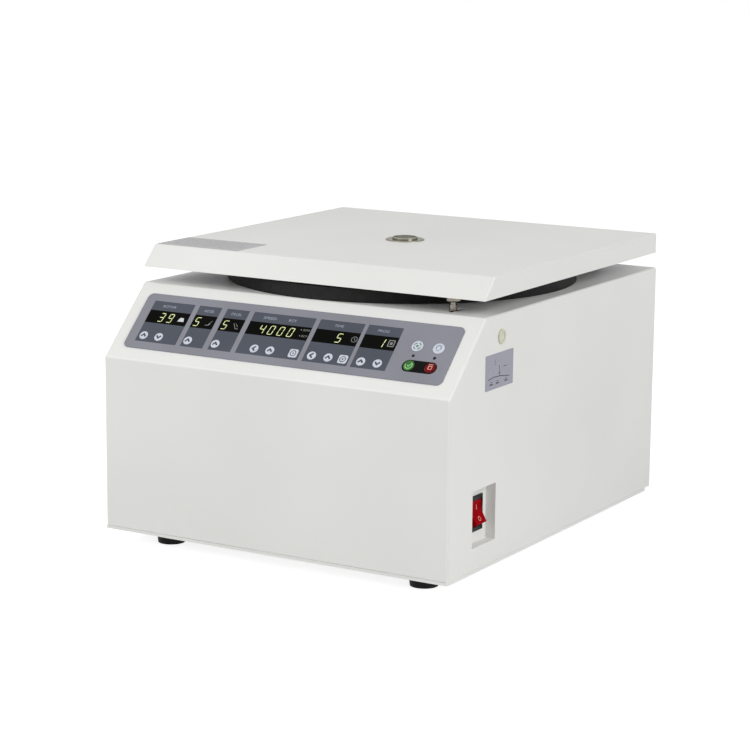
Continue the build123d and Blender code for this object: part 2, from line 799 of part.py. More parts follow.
with BuildPart() as chamber_bowl:
    with BuildSketch(turning_plane) as bowl_profile:
        with BuildLine():
            Polyline(
                (drain_radius, bowl_floor),
                (bowl_radius, bowl_floor),
                (bowl_radius, flange_top),
                (flange_radius, flange_top),
                (flange_radius, cabinet_top),
                (bowl_radius + bowl_wall, cabinet_top),
                (bowl_radius + bowl_wall, bowl_floor - bowl_wall),
                (drain_radius, bowl_floor - bowl_wall),
                close=True,
            )
        make_face()
        inner_corner = bowl_profile.vertices().sort_by_distance((bowl_radius, bowl_floor))[0]
        fillet(inner_corner, radius=bowl_corner_radius)
        outer_point = (bowl_radius + bowl_wall, bowl_floor - bowl_wall)
        outer_corner = bowl_profile.vertices().sort_by_distance(outer_point)[0]
        fillet(outer_corner, radius=bowl_corner_radius + bowl_wall)
    revolve(axis=chamber_axis)
write(chamber_bowl, "chamber_bowl")

gasket_inner = bowl_radius + gasket_inset
gasket_outer = flange_radius + gasket_skirt
gasket_top = lid_bottom - gasket_lid_gap
with BuildPart() as chamber_gasket:
    with BuildSketch(turning_plane):
        with BuildLine():
            Polyline(
                (gasket_inner, flange_top),
                (flange_radius + panel_gap, flange_top),
                (flange_radius + panel_gap, cabinet_top),
                (gasket_outer, cabinet_top),
                (gasket_outer, gasket_top - gasket_chamfer),
                (gasket_outer - gasket_chamfer, gasket_top),
                (gasket_inner + gasket_chamfer, gasket_top),
                (gasket_inner, gasket_top - gasket_chamfer),
                close=True,
            )
        make_face()
    revolve(axis=chamber_axis)
write(chamber_gasket, "chamber_gasket")

# Steel ring around the bowl that holds back a broken rotor.
with BuildPart() as guard_ring:
    with BuildSketch(Plane.XY.offset(base_top)):
        with Locations((0, chamber_y)):
            Circle(guard_outer)
            Circle(guard_inner, mode=Mode.SUBTRACT)
    extrude(amount=ceiling - guard_top_gap - base_top)
write(guard_ring, "guard_ring")

# ================================================================ drive
motor_bottom = base_top + buffer_height + motor_plate_thickness
motor_top = motor_bottom + motor_height
buffer_half = buffer_height / 2
with BuildPart() as rubber_buffers:
    for corner_x in (-buffer_spacing / 2, buffer_spacing / 2):
        for corner_y in (chamber_y - buffer_spacing / 2, chamber_y + buffer_spacing / 2):
            with Locations((corner_x, corner_y, base_top + buffer_half / 2)):
                Cone(buffer_radius, buffer_waist_radius, buffer_half)
            with Locations((corner_x, corner_y, base_top + 3 * buffer_half / 2)):
                Cone(buffer_waist_radius, buffer_radius, buffer_half)
write(rubber_buffers, "rubber_buffers")

with BuildPart() as motor_plate:
    with BuildSketch(Plane.XY.offset(base_top + buffer_height)):
        with Locations((0, chamber_y)):
            RectangleRounded(motor_plate_size, motor_plate_size, motor_plate_corner)
    extrude(amount=motor_plate_thickness)
write(motor_plate, "motor_plate")

with BuildPart() as motor_housing:
    with BuildSketch(Plane.XY.offset(motor_bottom)):
        with Locations((0, chamber_y)):
            Circle(motor_radius)
    extrude(amount=motor_height)
    top_edges = motor_housing.edges().group_by(Axis.Z)[-1]
    fillet(top_edges, radius=motor_round)
    with BuildSketch(Plane.XY.offset(motor_bottom + motor_rib_margin)):
        with Locations((0, chamber_y)):
            with PolarLocations(motor_radius, motor_rib_count):
                Rectangle(2 * motor_rib_depth, motor_rib_width)
    extrude(amount=motor_height - 2 * motor_rib_margin, mode=Mode.SUBTRACT)
    # Shaft bore with a bearing seat at each end.
    with BuildSketch(Plane.XY.offset(motor_bottom)):
        with Locations((0, chamber_y)):
            Circle(shaft_radius + shaft_clearance)
    extrude(amount=motor_height, mode=Mode.SUBTRACT)
    for seat in (motor_bottom, motor_top - bearing_height):
        with BuildSketch(Plane.XY.offset(seat)):
            with Locations((0, chamber_y)):
                Circle(bearing_radius + running_fit)
        extrude(amount=bearing_height, mode=Mode.SUBTRACT)
write(motor_housing, "motor_housing")

with BuildPart() as motor_bearings:
    for seat in (motor_bottom, motor_top - bearing_height):
        with BuildSketch(Plane.XY.offset(seat)):
            with Locations((0, chamber_y)):
                Circle(bearing_radius)
                Circle(shaft_radius + running_fit, mode=Mode.SUBTRACT)
        extrude(amount=bearing_height)
write(motor_bearings, "motor_bearings")

# Rubber seal between the motor and the bowl's floor.
seal_top = bowl_floor - bowl_wall
with BuildPart() as shaft_seal:
    with BuildSketch(turning_plane):
        with BuildLine():
            Polyline(
                (drain_radius, motor_top),
                (seal_radius, motor_top),
                (seal_radius - seal_waist, (motor_top + seal_top) / 2),
                (seal_radius, seal_top),
                (drain_radius, seal_top),
                close=True,
            )
        make_face()
    revolve(axis=chamber_axis)
write(shaft_seal, "shaft_seal")

# Drive electronics on the base plate, in front of the guard ring.
board_plane = Plane.XY.offset(base_top + board_standoff)
board_y = front + board_setback
standoff_x = board_width / 2 - board_standoff_margin
standoff_y = board_length / 2 - board_standoff_margin
fin_pitch = (heat_sink_width - heat_sink_fin_width) / (heat_sink_fins - 1)
with BuildPart() as drive_board:
    with BuildSketch(board_plane):
        with Locations((board_x, board_y)):
            Rectangle(board_width, board_length)
    extrude(amount=drive_board_thickness)
    with BuildSketch(board_plane):
        with Locations((board_x, board_y)):
            with GridLocations(2 * standoff_x, 2 * standoff_y, 2, 2):
                Circle(board_standoff_radius)
    extrude(amount=-board_standoff)
    board_top = board_plane.offset(drive_board_thickness)
    with BuildSketch(board_top):
        with Locations((board_x - heat_sink_shift, board_y)):
            with GridLocations(capacitor_pitch, 1, capacitor_count, 1):
                Circle(capacitor_radius)
    extrude(amount=capacitor_height)
    with BuildSketch(board_top):
        with Locations((board_x + heat_sink_shift, board_y)):
            Rectangle(heat_sink_width, heat_sink_length)
    extrude(amount=heat_sink_base)
    with BuildSketch(board_top):
        with Locations((board_x + heat_sink_shift, board_y)):
            with GridLocations(fin_pitch, 1, heat_sink_fins, 1):
                Rectangle(heat_sink_fin_width, heat_sink_length)
    extrude(amount=heat_sink_height)
write(drive_board, "drive_board")

# ================================================================ rotor
pivot_z = bowl_floor + pivot_height
pocket_length = plate_length + 2 * plate_fit
pocket_width = plate_width + 2 * plate_fit
carrier_length = pocket_length + 2 * carrier_wall
carrier_width = pocket_width + 2 * carrier_wall
beam_inner = carrier_length / 2 + carrier_boss + moving_gap
beam_outer = beam_inner + yoke_beam_thickness
hub_bottom = pivot_z - yoke_beam_height / 2 - yoke_hub_drop
hub_top = pivot_z + yoke_beam_height / 2

with BuildPart() as motor_shaft:
    with BuildSketch(Plane.XY.offset(motor_bottom + shaft_foot_gap)):
        with Locations((0, chamber_y)):
            Circle(shaft_radius)
    extrude(amount=hub_top + shaft_end - motor_bottom - shaft_foot_gap)
    with BuildSketch(Plane.XY.offset(hub_bottom - shaft_shoulder_height)):
        with Locations((0, chamber_y)):
            Circle(shaft_shoulder_radius)
    extrude(amount=shaft_shoulder_height)
write(motor_shaft, "motor_shaft")

with BuildPart() as rotor_yoke:
    with BuildSketch(Plane.XY.offset(pivot_z - yoke_beam_height / 2)):
        with Locations((0, chamber_y)):
            with GridLocations(1, beam_inner + beam_outer, 1, 2):
                Rectangle(2 * (pivot_radius + yoke_beam_end), yoke_beam_thickness)
            Rectangle(yoke_web_width, 2 * beam_outer)
    extrude(amount=yoke_beam_height)
    fillet(rotor_yoke.edges().filter_by(Axis.Z), radius=yoke_round)
    with BuildSketch(Plane.XY.offset(hub_bottom)):
        with Locations((0, chamber_y)):
            Circle(yoke_hub_radius)
    extrude(amount=hub_top - hub_bottom)
    with BuildSketch(Plane.XY.offset(hub_bottom)):
        with Locations((0, chamber_y)):
            Circle(shaft_radius + running_fit)
    extrude(amount=hub_top - hub_bottom, mode=Mode.SUBTRACT)
    with BuildSketch(turning_plane):
        with Locations((-pivot_radius, pivot_z), (pivot_radius, pivot_z)):
            Circle(trunnion_radius + running_fit)
    extrude(amount=beam_outer, both=True, mode=Mode.SUBTRACT)
write(rotor_yoke, "rotor_yoke")

with BuildPart() as rotor_nut:
    with BuildSketch(Plane.XY.offset(hub_top)):
        with Locations((0, chamber_y)):
            Circle(nut_radius)
    extrude(amount=nut_height)
    chamfer(rotor_nut.edges().group_by(Axis.Z)[-1], length=nut_round)
    with BuildSketch(Plane.XY.offset(hub_top)):
        with Locations((0, chamber_y)):
            with PolarLocations(nut_radius + nut_flute_radius / 2, nut_flute_count):
                Circle(nut_flute_radius)
    extrude(amount=nut_height, mode=Mode.SUBTRACT)
    with BuildSketch(Plane.XY.offset(hub_top)):
        with Locations((0, chamber_y)):
            Circle(shaft_radius + running_fit)
    extrude(amount=nut_height - nut_cover, mode=Mode.SUBTRACT)
write(rotor_nut, "rotor_nut")

# Four trunnion pins, headed outside the beams, each reaching into one end of a carrier.
pin_start = pocket_length / 2 + running_fit
with BuildPart() as trunnion_pins:
    for end in (-1, 1):
        end_plane = Plane(origin=(0, chamber_y, pivot_z), x_dir=(1, 0, 0), z_dir=(0, end, 0))
        with BuildSketch(end_plane.offset(pin_start)):
            with Locations((-pivot_radius, 0), (pivot_radius, 0)):
                Circle(trunnion_radius)
        extrude(amount=beam_outer - pin_start)
        with BuildSketch(end_plane.offset(beam_outer)):
            with Locations((-pivot_radius, 0), (pivot_radius, 0)):
                Circle(trunnion_head_radius)
        extrude(amount=trunnion_head_thickness)
write(trunnion_pins, "trunnion_pins")

for carrier_name, side in (("carrier_left", -1), ("carrier_right", 1)):
    carrier_plane = Plane(origin=(side * pivot_radius, chamber_y, pivot_z - carrier_drop))
    with BuildPart() as carrier:
        with BuildSketch(carrier_plane):
            RectangleRounded(carrier_width, carrier_length, carrier_corner)
        extrude(amount=carrier_drop + carrier_rise)
        with BuildSketch(carrier_plane.offset(carrier_floor)):
            Rectangle(pocket_width, pocket_length)
        extrude(amount=carrier_drop + carrier_rise, mode=Mode.SUBTRACT)
        # The side walls are lower than the end walls that hang on the trunnions.
        with BuildSketch(carrier_plane.offset(carrier_floor + carrier_side_height)):
            Rectangle(2 * carrier_width, pocket_length)
        extrude(amount=carrier_drop + carrier_rise, mode=Mode.SUBTRACT)
        for end in (-1, 1):
            end_plane = Plane(
                origin=(side * pivot_radius, chamber_y + end * carrier_length / 2, pivot_z),
                x_dir=(1, 0, 0),
                z_dir=(0, end, 0),
            )
            with BuildSketch(end_plane):
                Circle(carrier_boss_radius)
            extrude(amount=carrier_boss)
            with BuildSketch(end_plane.offset(carrier_boss)):
                Circle(trunnion_radius + running_fit)
            extrude(amount=-carrier_boss - carrier_wall, mode=Mode.SUBTRACT)
        with BuildSketch(carrier_plane):
            Circle(carrier_floor_hole)
        extrude(amount=carrier_floor, mode=Mode.SUBTRACT)
    write(carrier, carrier_name)

# ================================================================ lid
lid_front = front + lid_front_setback
lid_rear = rear + lid_rear_overhang
sight_y = front + sight_setback
lid_top_front = lid_front + lid_front_lean

with BuildPart() as lid_shell:
    with BuildSketch(Plane.YZ):
        with BuildLine():
            Polyline(
                (lid_front, lid_bottom),
                (lid_top_front, lid_top),
                (lid_rear, lid_top),
                (lid_rear, lid_bottom),
                close=True,
            )
        make_face()
    extrude(amount=lid_width / 2, both=True)
    rim_middles = [edge.center() for edge in lid_shell.faces().sort_by(Axis.Z)[0].edges()]
    folds = [e for e in lid_shell.edges() if all((e.center() - m).length > lid_sheet for m in rim_middles)]
    fillet(folds, radius=lid_edge_radius)
    offset(amount=-lid_sheet, openings=lid_shell.faces().sort_by(Axis.Z)[0])
    with BuildSketch(Plane.XY.offset(lid_top)):
        with Locations((0, sight_y)):
            Circle(sight_tube_radius + panel_gap)
    extrude(amount=-2 * lid_sheet, mode=Mode.SUBTRACT)
write(lid_shell, "lid_shell")

# Flat liner that closes the lid below, inside the shell's walls.
lean_length = hypot(lid_front_lean, lid_thickness)
leaning_wall = lid_sheet * lean_length / lid_thickness
liner_front = lid_front + leaning_wall + liner_thickness * lid_front_lean / lid_thickness + panel_gap
liner_rear = lid_rear - lid_sheet - panel_gap
with BuildPart() as lid_liner:
    with BuildSketch(Plane.XY.offset(lid_bottom)):
        with Locations((0, (liner_front + liner_rear) / 2)):
            Rectangle(lid_width - 2 * (lid_sheet + panel_gap), liner_rear - liner_front)
        with Locations((0, sight_y)):
            Circle(sight_tube_radius + panel_gap, mode=Mode.SUBTRACT)
    extrude(amount=liner_thickness)
    fillet(lid_liner.edges().filter_by(Axis.Z), radius=lid_edge_radius)
write(lid_liner, "lid_liner")

with BuildPart() as lid_label:
    label_x = -lid_width / 2 + lid_label_side_margin + lid_label_width / 2
    label_y = lid_top_front + lid_label_front_margin + lid_label_depth / 2
    with BuildSketch(Plane.XY.offset(lid_top)):
        with Locations((label_x, label_y)):
            RectangleRounded(lid_label_width, lid_label_depth, label_corner)
    extrude(amount=label_thickness)
write(lid_label, "lid_label")

# Sight port: a turned ring with a flange on the lid, a tube down to the liner, and a glass.
sight_axis = Axis((0, sight_y, 0), (0, 0, 1))
sight_plane = Plane(origin=(0, sight_y, 0), x_dir=(1, 0, 0), z_dir=(0, -1, 0))
collar_top = lid_top + sight_collar_height
glass_top = collar_top - sight_glass_sink
glass_bottom = glass_top - sight_glass_thickness
with BuildPart() as sight_ring:
    with BuildSketch(sight_plane):
        with BuildLine():
            Polyline(
                (sight_bore_radius, lid_bottom),
                (sight_tube_radius, lid_bottom),
                (sight_tube_radius, lid_top),
                (sight_flange_radius, lid_top),
                (sight_flange_radius, lid_top + sight_flange_thickness - sight_round),
                (sight_flange_radius - sight_round, lid_top + sight_flange_thickness),
                (sight_tube_radius, lid_top + sight_flange_thickness),
                (sight_tube_radius, collar_top - sight_round),
                (sight_tube_radius - sight_round, collar_top),
                (sight_glass_radius, collar_top),
                (sight_glass_radius, glass_bottom),
                (sight_bore_radius, glass_bottom),
                close=True,
            )
        make_face()
    revolve(axis=sight_axis)
write(sight_ring, "sight_ring")

with BuildPart() as sight_glass:
    with BuildSketch(Plane.XY.offset(glass_bottom)):
        with Locations((0, sight_y)):
            Circle(sight_glass_radius - running_fit)
    extrude(amount=sight_glass_thickness)
write(sight_glass, "sight_glass")

# ================================================================ hinges
side_knuckle = (hinge_width - hinge_centre_share) / 2 - hinge_side_gap
side_knuckle_x = hinge_centre_share / 2 + hinge_side_gap + side_knuckle / 2
leaf_rear = hinge_y + knuckle_web / 2
leaf_front = hinge_y - hinge_leaf_reach
leaf_middle = (leaf_front + leaf_rear) / 2
hinge_places = [-hinge_spacing / 2, hinge_spacing / 2]

with BuildPart() as hinge_brackets:
    for hinge_x in hinge_places:
        hinge_plane = Plane.YZ.offset(hinge_x)
        with BuildSketch(hinge_plane):
            with Locations((leaf_middle, cabinet_top + hinge_leaf_thickness / 2)):
                Rectangle(leaf_rear - leaf_front, hinge_leaf_thickness)
        extrude(amount=hinge_width / 2, both=True)
        with BuildSketch(hinge_plane):
            with Locations((hinge_y, cabinet_top + hinge_lift / 2)):
                Rectangle(knuckle_web, hinge_lift)
            with Locations((hinge_y, hinge_z)):
                Circle(knuckle_radius)
        extrude(amount=hinge_centre_share / 2, both=True)
        with BuildSketch(hinge_plane):
            with Locations((hinge_y, hinge_z)):
                Circle(hinge_pin_radius + running_fit)
        extrude(amount=hinge_width / 2, both=True, mode=Mode.SUBTRACT)
write(hinge_brackets, "hinge_brackets")

leaf_drop = lid_bottom - hinge_z
with BuildPart() as hinge_leaves:
    for hinge_x in hinge_places:
        with BuildSketch(Plane.YZ.offset(hinge_x)):
            with Locations((leaf_middle, lid_bottom - hinge_leaf_thickness / 2)):
                Rectangle(leaf_rear - leaf_front, hinge_leaf_thickness)
        extrude(amount=hinge_width / 2, both=True)
        for side in (-1, 1):
            with BuildSketch(Plane.YZ.offset(hinge_x + side * side_knuckle_x)):
                with Locations((hinge_y, hinge_z + leaf_drop / 2)):
                    Rectangle(knuckle_web, leaf_drop)
                with Locations((hinge_y, hinge_z)):
                    Circle(knuckle_radius)
            extrude(amount=side_knuckle / 2, both=True)
        with BuildSketch(Plane.YZ.offset(hinge_x)):
            with Locations((hinge_y, hinge_z)):
                Circle(hinge_pin_radius + running_fit)
        extrude(amount=hinge_width / 2, both=True, mode=Mode.SUBTRACT)
write(hinge_leaves, "hinge_leaves")

with BuildPart() as hinge_pins:
    for hinge_x in hinge_places:
        with BuildSketch(Plane.YZ.offset(hinge_x)):
            with Locations((hinge_y, hinge_z)):
                Circle(hinge_pin_radius)
        extrude(amount=hinge_width / 2, both=True)
write(hinge_pins, "hinge_pins")

# ================================================================ lid lock
striker_axis = Axis((striker_x, striker_y, 0), (0, 0, 1))
striker_plane = Plane(origin=(striker_x, striker_y, 0), x_dir=(1, 0, 0), z_dir=(0, -1, 0))
collar_bottom = cabinet_top + striker_collar_lift
groove_top = cabinet_top - striker_groove_drop
groove_bottom = groove_top - striker_groove_height
striker_tip = groove_bottom - striker_tip_length
with BuildPart() as lid_striker:
    with BuildSketch(striker_plane):
        with BuildLine():
            Polyline(
                (0, lid_bottom),
                (striker_flange_radius, lid_bottom),
                (striker_flange_radius, lid_bottom - striker_flange_thickness),
                (striker_neck_radius, lid_bottom - striker_flange_thickness - striker_cone_length),
                (striker_neck_radius, collar_bottom + striker_collar_height),
                (striker_collar_radius, collar_bottom + striker_collar_height),
                (striker_collar_radius, collar_bottom),
                (striker_shank_radius, collar_bottom),
                (striker_shank_radius, groove_top),
                (striker_groove_radius, groove_top),
                (striker_groove_radius, groove_bottom),
                (striker_shank_radius, groove_bottom),
                (striker_shank_radius, striker_tip + striker_tip_chamfer),
                (striker_shank_radius - striker_tip_chamfer, striker_tip),
                (0, striker_tip),
                close=True,
            )
        make_face()
    revolve(axis=striker_axis)
write(lid_striker, "lid_striker")

# The bolt rests behind the striker and slides forward, so that its notch enters the groove.
bolt_z = (groove_top + groove_bottom) / 2
bolt_front = striker_y + striker_shank_radius + bolt_rest_gap
bolt_rear = bolt_front + bolt_length
notch_width = 2 * (striker_groove_radius + moving_gap)
notch_depth = bolt_travel + striker_y - bolt_front + striker_groove_radius + moving_gap
bolt_axis_plane = Plane(origin=(striker_x, bolt_rear, bolt_z), x_dir=(1, 0, 0), z_dir=(0, 1, 0))
with BuildPart() as lock_bolt:
    with BuildSketch(Plane.XY.offset(bolt_z - bolt_thickness / 2)):
        with Locations((striker_x, (bolt_front + bolt_rear) / 2)):
            Rectangle(bolt_width, bolt_length)
        with Locations((striker_x, bolt_front + notch_depth / 2)):
            Rectangle(notch_width, notch_depth, mode=Mode.SUBTRACT)
    extrude(amount=bolt_thickness)
    with BuildSketch(bolt_axis_plane):
        Circle(plunger_radius)
    extrude(amount=plunger_length)
write(lock_bolt, "lock_bolt")

solenoid_top = ceiling
solenoid_bottom = bolt_z - solenoid_drop
with BuildPart() as lock_solenoid:
    with BuildSketch(bolt_axis_plane.offset(solenoid_gap)):
        with Locations((0, bolt_z - (solenoid_top + solenoid_bottom) / 2)):
            Rectangle(solenoid_width, solenoid_top - solenoid_bottom)
    extrude(amount=solenoid_length)
    with BuildSketch(bolt_axis_plane):
        Circle(plunger_radius + running_fit)
    extrude(amount=plunger_length + plunger_end_gap, mode=Mode.SUBTRACT)
write(lock_solenoid, "lock_solenoid")
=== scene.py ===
# %% [markdown]
# # Dressing a microplate centrifuge
# The cabinet, lid, rotor and every moving part are already made as solids, each in its real place. This
# notebook loads them as a fixed frame, gives each one its real finish, and adds what is printed, lit or
# screwed in. Nothing that was loaded is moved: what is added is built where the frame says.

# %% Load the frame
import json
from math import atan2, cos, pi, radians, sin

import bmesh
import bpy
from mathutils import Matrix, Vector


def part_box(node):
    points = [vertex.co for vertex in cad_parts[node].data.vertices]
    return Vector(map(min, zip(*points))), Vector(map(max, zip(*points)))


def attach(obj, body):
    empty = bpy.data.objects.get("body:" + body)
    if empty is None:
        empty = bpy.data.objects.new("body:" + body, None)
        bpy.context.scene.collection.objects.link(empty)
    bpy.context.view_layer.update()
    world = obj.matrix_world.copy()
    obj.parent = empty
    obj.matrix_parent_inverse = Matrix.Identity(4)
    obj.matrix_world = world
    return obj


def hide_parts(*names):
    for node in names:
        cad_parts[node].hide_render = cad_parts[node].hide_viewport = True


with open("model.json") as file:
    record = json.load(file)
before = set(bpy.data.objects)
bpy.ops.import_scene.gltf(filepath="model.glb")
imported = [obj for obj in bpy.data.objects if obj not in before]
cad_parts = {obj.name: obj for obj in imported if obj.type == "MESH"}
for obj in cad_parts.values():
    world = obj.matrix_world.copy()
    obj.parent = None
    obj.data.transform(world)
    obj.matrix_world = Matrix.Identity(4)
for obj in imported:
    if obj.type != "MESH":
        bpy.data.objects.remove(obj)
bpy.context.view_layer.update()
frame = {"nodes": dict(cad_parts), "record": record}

mm = 0.001

# %% [markdown]
# ## Colours
# Colours are written as hex codes, the way a paint card gives them. Blender's shaders add up light, so
# they want linear values. One function turns one into the other, and every colour goes through it.


# %% Turn a hex colour into linear light
def linear(code):
    """Linear red, green, blue and alpha of an sRGB colour such as "c8c8d0"."""
    shares = [int(code[i : i + 2], 16) / 255 for i in (0, 2, 4)]
    return [s / 12.92 if s <= 0.04045 else ((s + 0.055) / 1.055) ** 2.4 for s in shares] + [1.0]


print("mid grey is", round(linear("808080")[0], 3), "in linear light")

# %% [markdown]
# ## A helper for shader nodes
# A material is a small network. Building one by hand in the editor means adding a node, typing its
# settings and dragging its links. This one function does those three steps, so that each material below
# reads as a list of what it is made of.


# %% Add one node with its settings and links
def add(tree, kind, inputs=None, **settings):
    """A new node: settings are its properties, inputs are socket values or the sockets that feed them."""
    made = tree.nodes.new(kind)
    for name, value in settings.items():
        setattr(made, name, value)
    for name, value in (inputs or {}).items():
        if isinstance(value, bpy.types.NodeSocket):
            tree.links.new(value, made.inputs[name])
        else:
            made.inputs[name].default_value = value
    return made


# %% [markdown]
# ## What every finish starts from
# All the finishes use the Principled shader. What is the same all over a surface, such as how glossy
# it is, is typed on the shader itself. What varies comes from noise that is laid out in real millimetres
# on the object's own coordinates, so it keeps its scale on a small key and on a large panel. A dark
# surface in a white room can show more of the room than of its own colour, so the dark plastics and
# prints below have their specular level turned down.


# %% Start a material, and give a surface its grain
def start(name, colour, roughness, metallic=0.0, **sockets):
    """A new material with one Principled shader, and its node tree."""
    material = bpy.data.materials.new(name)
    material.use_nodes = True
    tree = material.node_tree
    shader = tree.nodes["Principled BSDF"]
    shader.inputs["Base Color"].default_value = linear(colour)
    shader.inputs["Roughness"].default_value = roughness
    shader.inputs["Metallic"].default_value = metallic
    for socket, value in sockets.items():
        shader.inputs[socket.replace("_", " ")].default_value = value
    return material, tree, shader


def noise(tree, size, stretch=(1, 1, 1), detail=2.0):
    """Noise whose lumps are about size metres across, stretched along the axes with a low number."""
    where = add(tree, "ShaderNodeTexCoord").outputs["Object"]
    laid = add(tree, "ShaderNodeMapping", {"Vector": where, "Scale": stretch})
    wave = {"Vector": laid.outputs["Vector"], "Scale": 1 / size, "Detail": detail}
    return add(tree, "ShaderNodeTexNoise", wave).outputs["Fac"]


def tint(tree, shader, factor, dark, light, low=0.35, high=0.65):
    """The base colour runs from dark to light as the factor goes from low to high."""
    ramp = add(tree, "ShaderNodeValToRGB", {"Fac": factor})
    ramp.color_ramp.elements[0].position = low
    ramp.color_ramp.elements[1].position = high
    ramp.color_ramp.elements[0].color = linear(dark)
    ramp.color_ramp.elements[1].color = linear(light)
    tree.links.new(ramp.outputs["Color"], shader.inputs["Base Color"])


def emboss(tree, shader, height, depth):
    """Bump of that depth in metres from a height between 0 and 1."""
    bump = add(tree, "ShaderNodeBump", {"Height": height, "Distance": depth, "Strength": 1.0})
    tree.links.new(bump.outputs["Normal"], shader.inputs["Normal"])


def vary_gloss(tree, shader, factor, low, high):
    """Roughness between low and high, following a factor between 0 and 1."""
    span = {"Value": factor, "To Min": low, "To Max": high}
    mapped = add(tree, "ShaderNodeMapRange", span)
    tree.links.new(mapped.outputs["Result"], shader.inputs["Roughness"])


print("material helpers ready")

# %% [markdown]
# ## Powder coat
# The cabinet and the lid are folded steel sheet, sprayed with dry polyester powder and baked. The powder
# flows together but keeps a faint orange peel, a millimetre or two across, and a satin gloss. The eye
# sees it only as a soft break-up of the highlights. The tone drifts very slightly over a large panel.


# %% Powder-coated steel
def powder_coat(name, shade, light):
    """Sprayed and baked paint: a slow drift of tone, orange peel, and a satin gloss."""
    material, tree, shader = start(name, light, 0.42, IOR=1.5)
    tint(tree, shader, noise(tree, 180 * mm, detail=1.0), shade, light, 0.3, 0.7)
    emboss(tree, shader, noise(tree, 1.6 * mm, detail=3.0), 0.02 * mm)
    vary_gloss(tree, shader, noise(tree, 40 * mm), 0.38, 0.48)
    return material


cabinet_paint = powder_coat("powder_coated_steel_white", "e5e5e2", "ebebe8")
print("made", cabinet_paint.name)

# %% [markdown]
# ## Sheet metal and turned metal
# The base plate and brackets are zinc-plated sheet: a dull grey with a cloudy bloom. The chamber bowl is
# stainless steel that was polished while it spun, so its fine scratches run in rings. The rings come from
# noise that reads the distance from an upright axis instead of a position. The small turned parts have
# finer rings: the sight port's ring is polished and a little olive, and the striker is chrome plate whose
# colour is drawn dark as painted shade and painted reflection of the dark gap under the lid. Where such a
# part stands off that axis, the rings show as short fine lines. Real tool marks are finer still, and are
# drawn only as fine as shows. A metal has two colours, one that it reflects face on and one for a glancing
# angle, which makes the chrome's edges flash.


# %% Zinc-plated, spun and turned metal
def zinc_plate(name):
    """Zinc plate on sheet steel: cloudy grey, with a gloss that comes and goes."""
    material, tree, shader = start(name, "b9bcbe", 0.38, 1.0)
    tint(tree, shader, noise(tree, 14 * mm, detail=4.0), "b0b3b5", "bfc1c3")
    vary_gloss(tree, shader, noise(tree, 9 * mm), 0.34, 0.44)
    emboss(tree, shader, noise(tree, 2.2 * mm), 0.006 * mm)
    return material


def rings(tree, centre, spacing):
    """Noise that is the same all the way round a vertical axis through centre, as turning leaves it."""
    where = add(tree, "ShaderNodeTexCoord").outputs["Object"]
    moved = add(tree, "ShaderNodeMapping", {"Vector": where, "Location": (-centre[0], -centre[1], 0)})
    parts = add(tree, "ShaderNodeSeparateXYZ", {"Vector": moved.outputs["Vector"]})
    flat = add(tree, "ShaderNodeCombineXYZ", {"X": parts.outputs["X"], "Y": parts.outputs["Y"]})
    radius = add(tree, "ShaderNodeVectorMath", {"Vector": flat.outputs["Vector"]}, operation="LENGTH")
    line = {"X": radius.outputs["Value"], "Y": parts.outputs["Z"]}
    read = add(tree, "ShaderNodeCombineXYZ", line)
    wave = {"Vector": read.outputs["Vector"], "Scale": 1 / spacing, "Detail": 4.0}
    return add(tree, "ShaderNodeTexNoise", wave).outputs["Fac"]


def turned_metal(name, colour, edge, centre, spacing, roughness):
    """Metal with turning rings, which reflects in its own colour, and in another at a glancing angle."""
    material, tree, shader = start(name, colour, roughness, 1.0, Specular_Tint=linear(edge))
    marks = rings(tree, centre, spacing)
    vary_gloss(tree, shader, marks, 0.6 * roughness, 1.5 * roughness)
    emboss(tree, shader, marks, 0.004 * mm)
    return material


rotor_low, rotor_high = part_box("rotor_nut")
rotor_axis = ((rotor_low.x + rotor_high.x) / 2, (rotor_low.y + rotor_high.y) / 2)
zinc = zinc_plate("zinc_plated_steel_sheet")
stainless = turned_metal("spun_stainless_steel", "c4c5c6", "ffffff", rotor_axis, 1.2 * mm, 0.28)
polished = turned_metal("turned_polished_steel", "9f9d92", "c3c1b8", rotor_axis, 0.6 * mm, 0.15)
# The striker's chrome is drawn darker than chrome: its colour holds painted shade and painted reflection.
chrome = turned_metal("chrome_plate_with_painted_shade", "7c766e", "ffffff", rotor_axis, 0.6 * mm, 0.08)
print("rotor axis at", [round(v / mm, 1) for v in rotor_axis])

# %% [markdown]
# ## Rubber and moulded plastics
# The gasket and the feet are moulded black rubber: dark, dull, with a fine bloom of dust. The switch's
# housing is black nylon with a low sheen, its rocker is deep red polycarbonate, and the plug on the side
# is cream nylon. The key caps are ABS. Moulded plastic is not perfectly smooth: it carries the mould's
# spark-eroded grain. The real grain is a few times finer, and is drawn coarser so that it shows. One
# function makes them all, because they differ only in numbers.


# %% Rubber, nylon, polycarbonate and ABS
def moulded(name, shade, light, roughness, grain, depth, gloss=0.5, **sockets):
    """Moulded plastic or rubber, with a grain of that size and depth and that specular level."""
    material, tree, shader = start(name, light, roughness, Specular_IOR_Level=gloss, **sockets)
    tint(tree, shader, noise(tree, 12 * grain), shade, light)
    emboss(tree, shader, noise(tree, grain, detail=3.0), depth)
    vary_gloss(tree, shader, noise(tree, 5 * grain), 0.85 * roughness, 1.15 * roughness)
    return material


rubber = moulded("moulded_black_rubber", "0f0e0e", "191818", 0.62, 0.8 * mm, 0.02 * mm, gloss=0.2)
nylon = moulded("glossy_black_nylon", "0e0e0f", "171719", 0.26, 0.6 * mm, 0.004 * mm, gloss=0.1)
cream = moulded("cream_nylon", "d2cfb9", "dddac6", 0.40, 0.7 * mm, 0.006 * mm, Subsurface_Weight=0.1)
key_abs = moulded("pale_key_abs", "c5cad6", "d1d5e1", 0.36, 0.5 * mm, 0.004 * mm)
red_clear = moulded("red_polycarbonate", "88000a", "a4060f", 0.24, 0.9 * mm, 0.003 * mm, gloss=0.008)
print("moulded finishes ready")

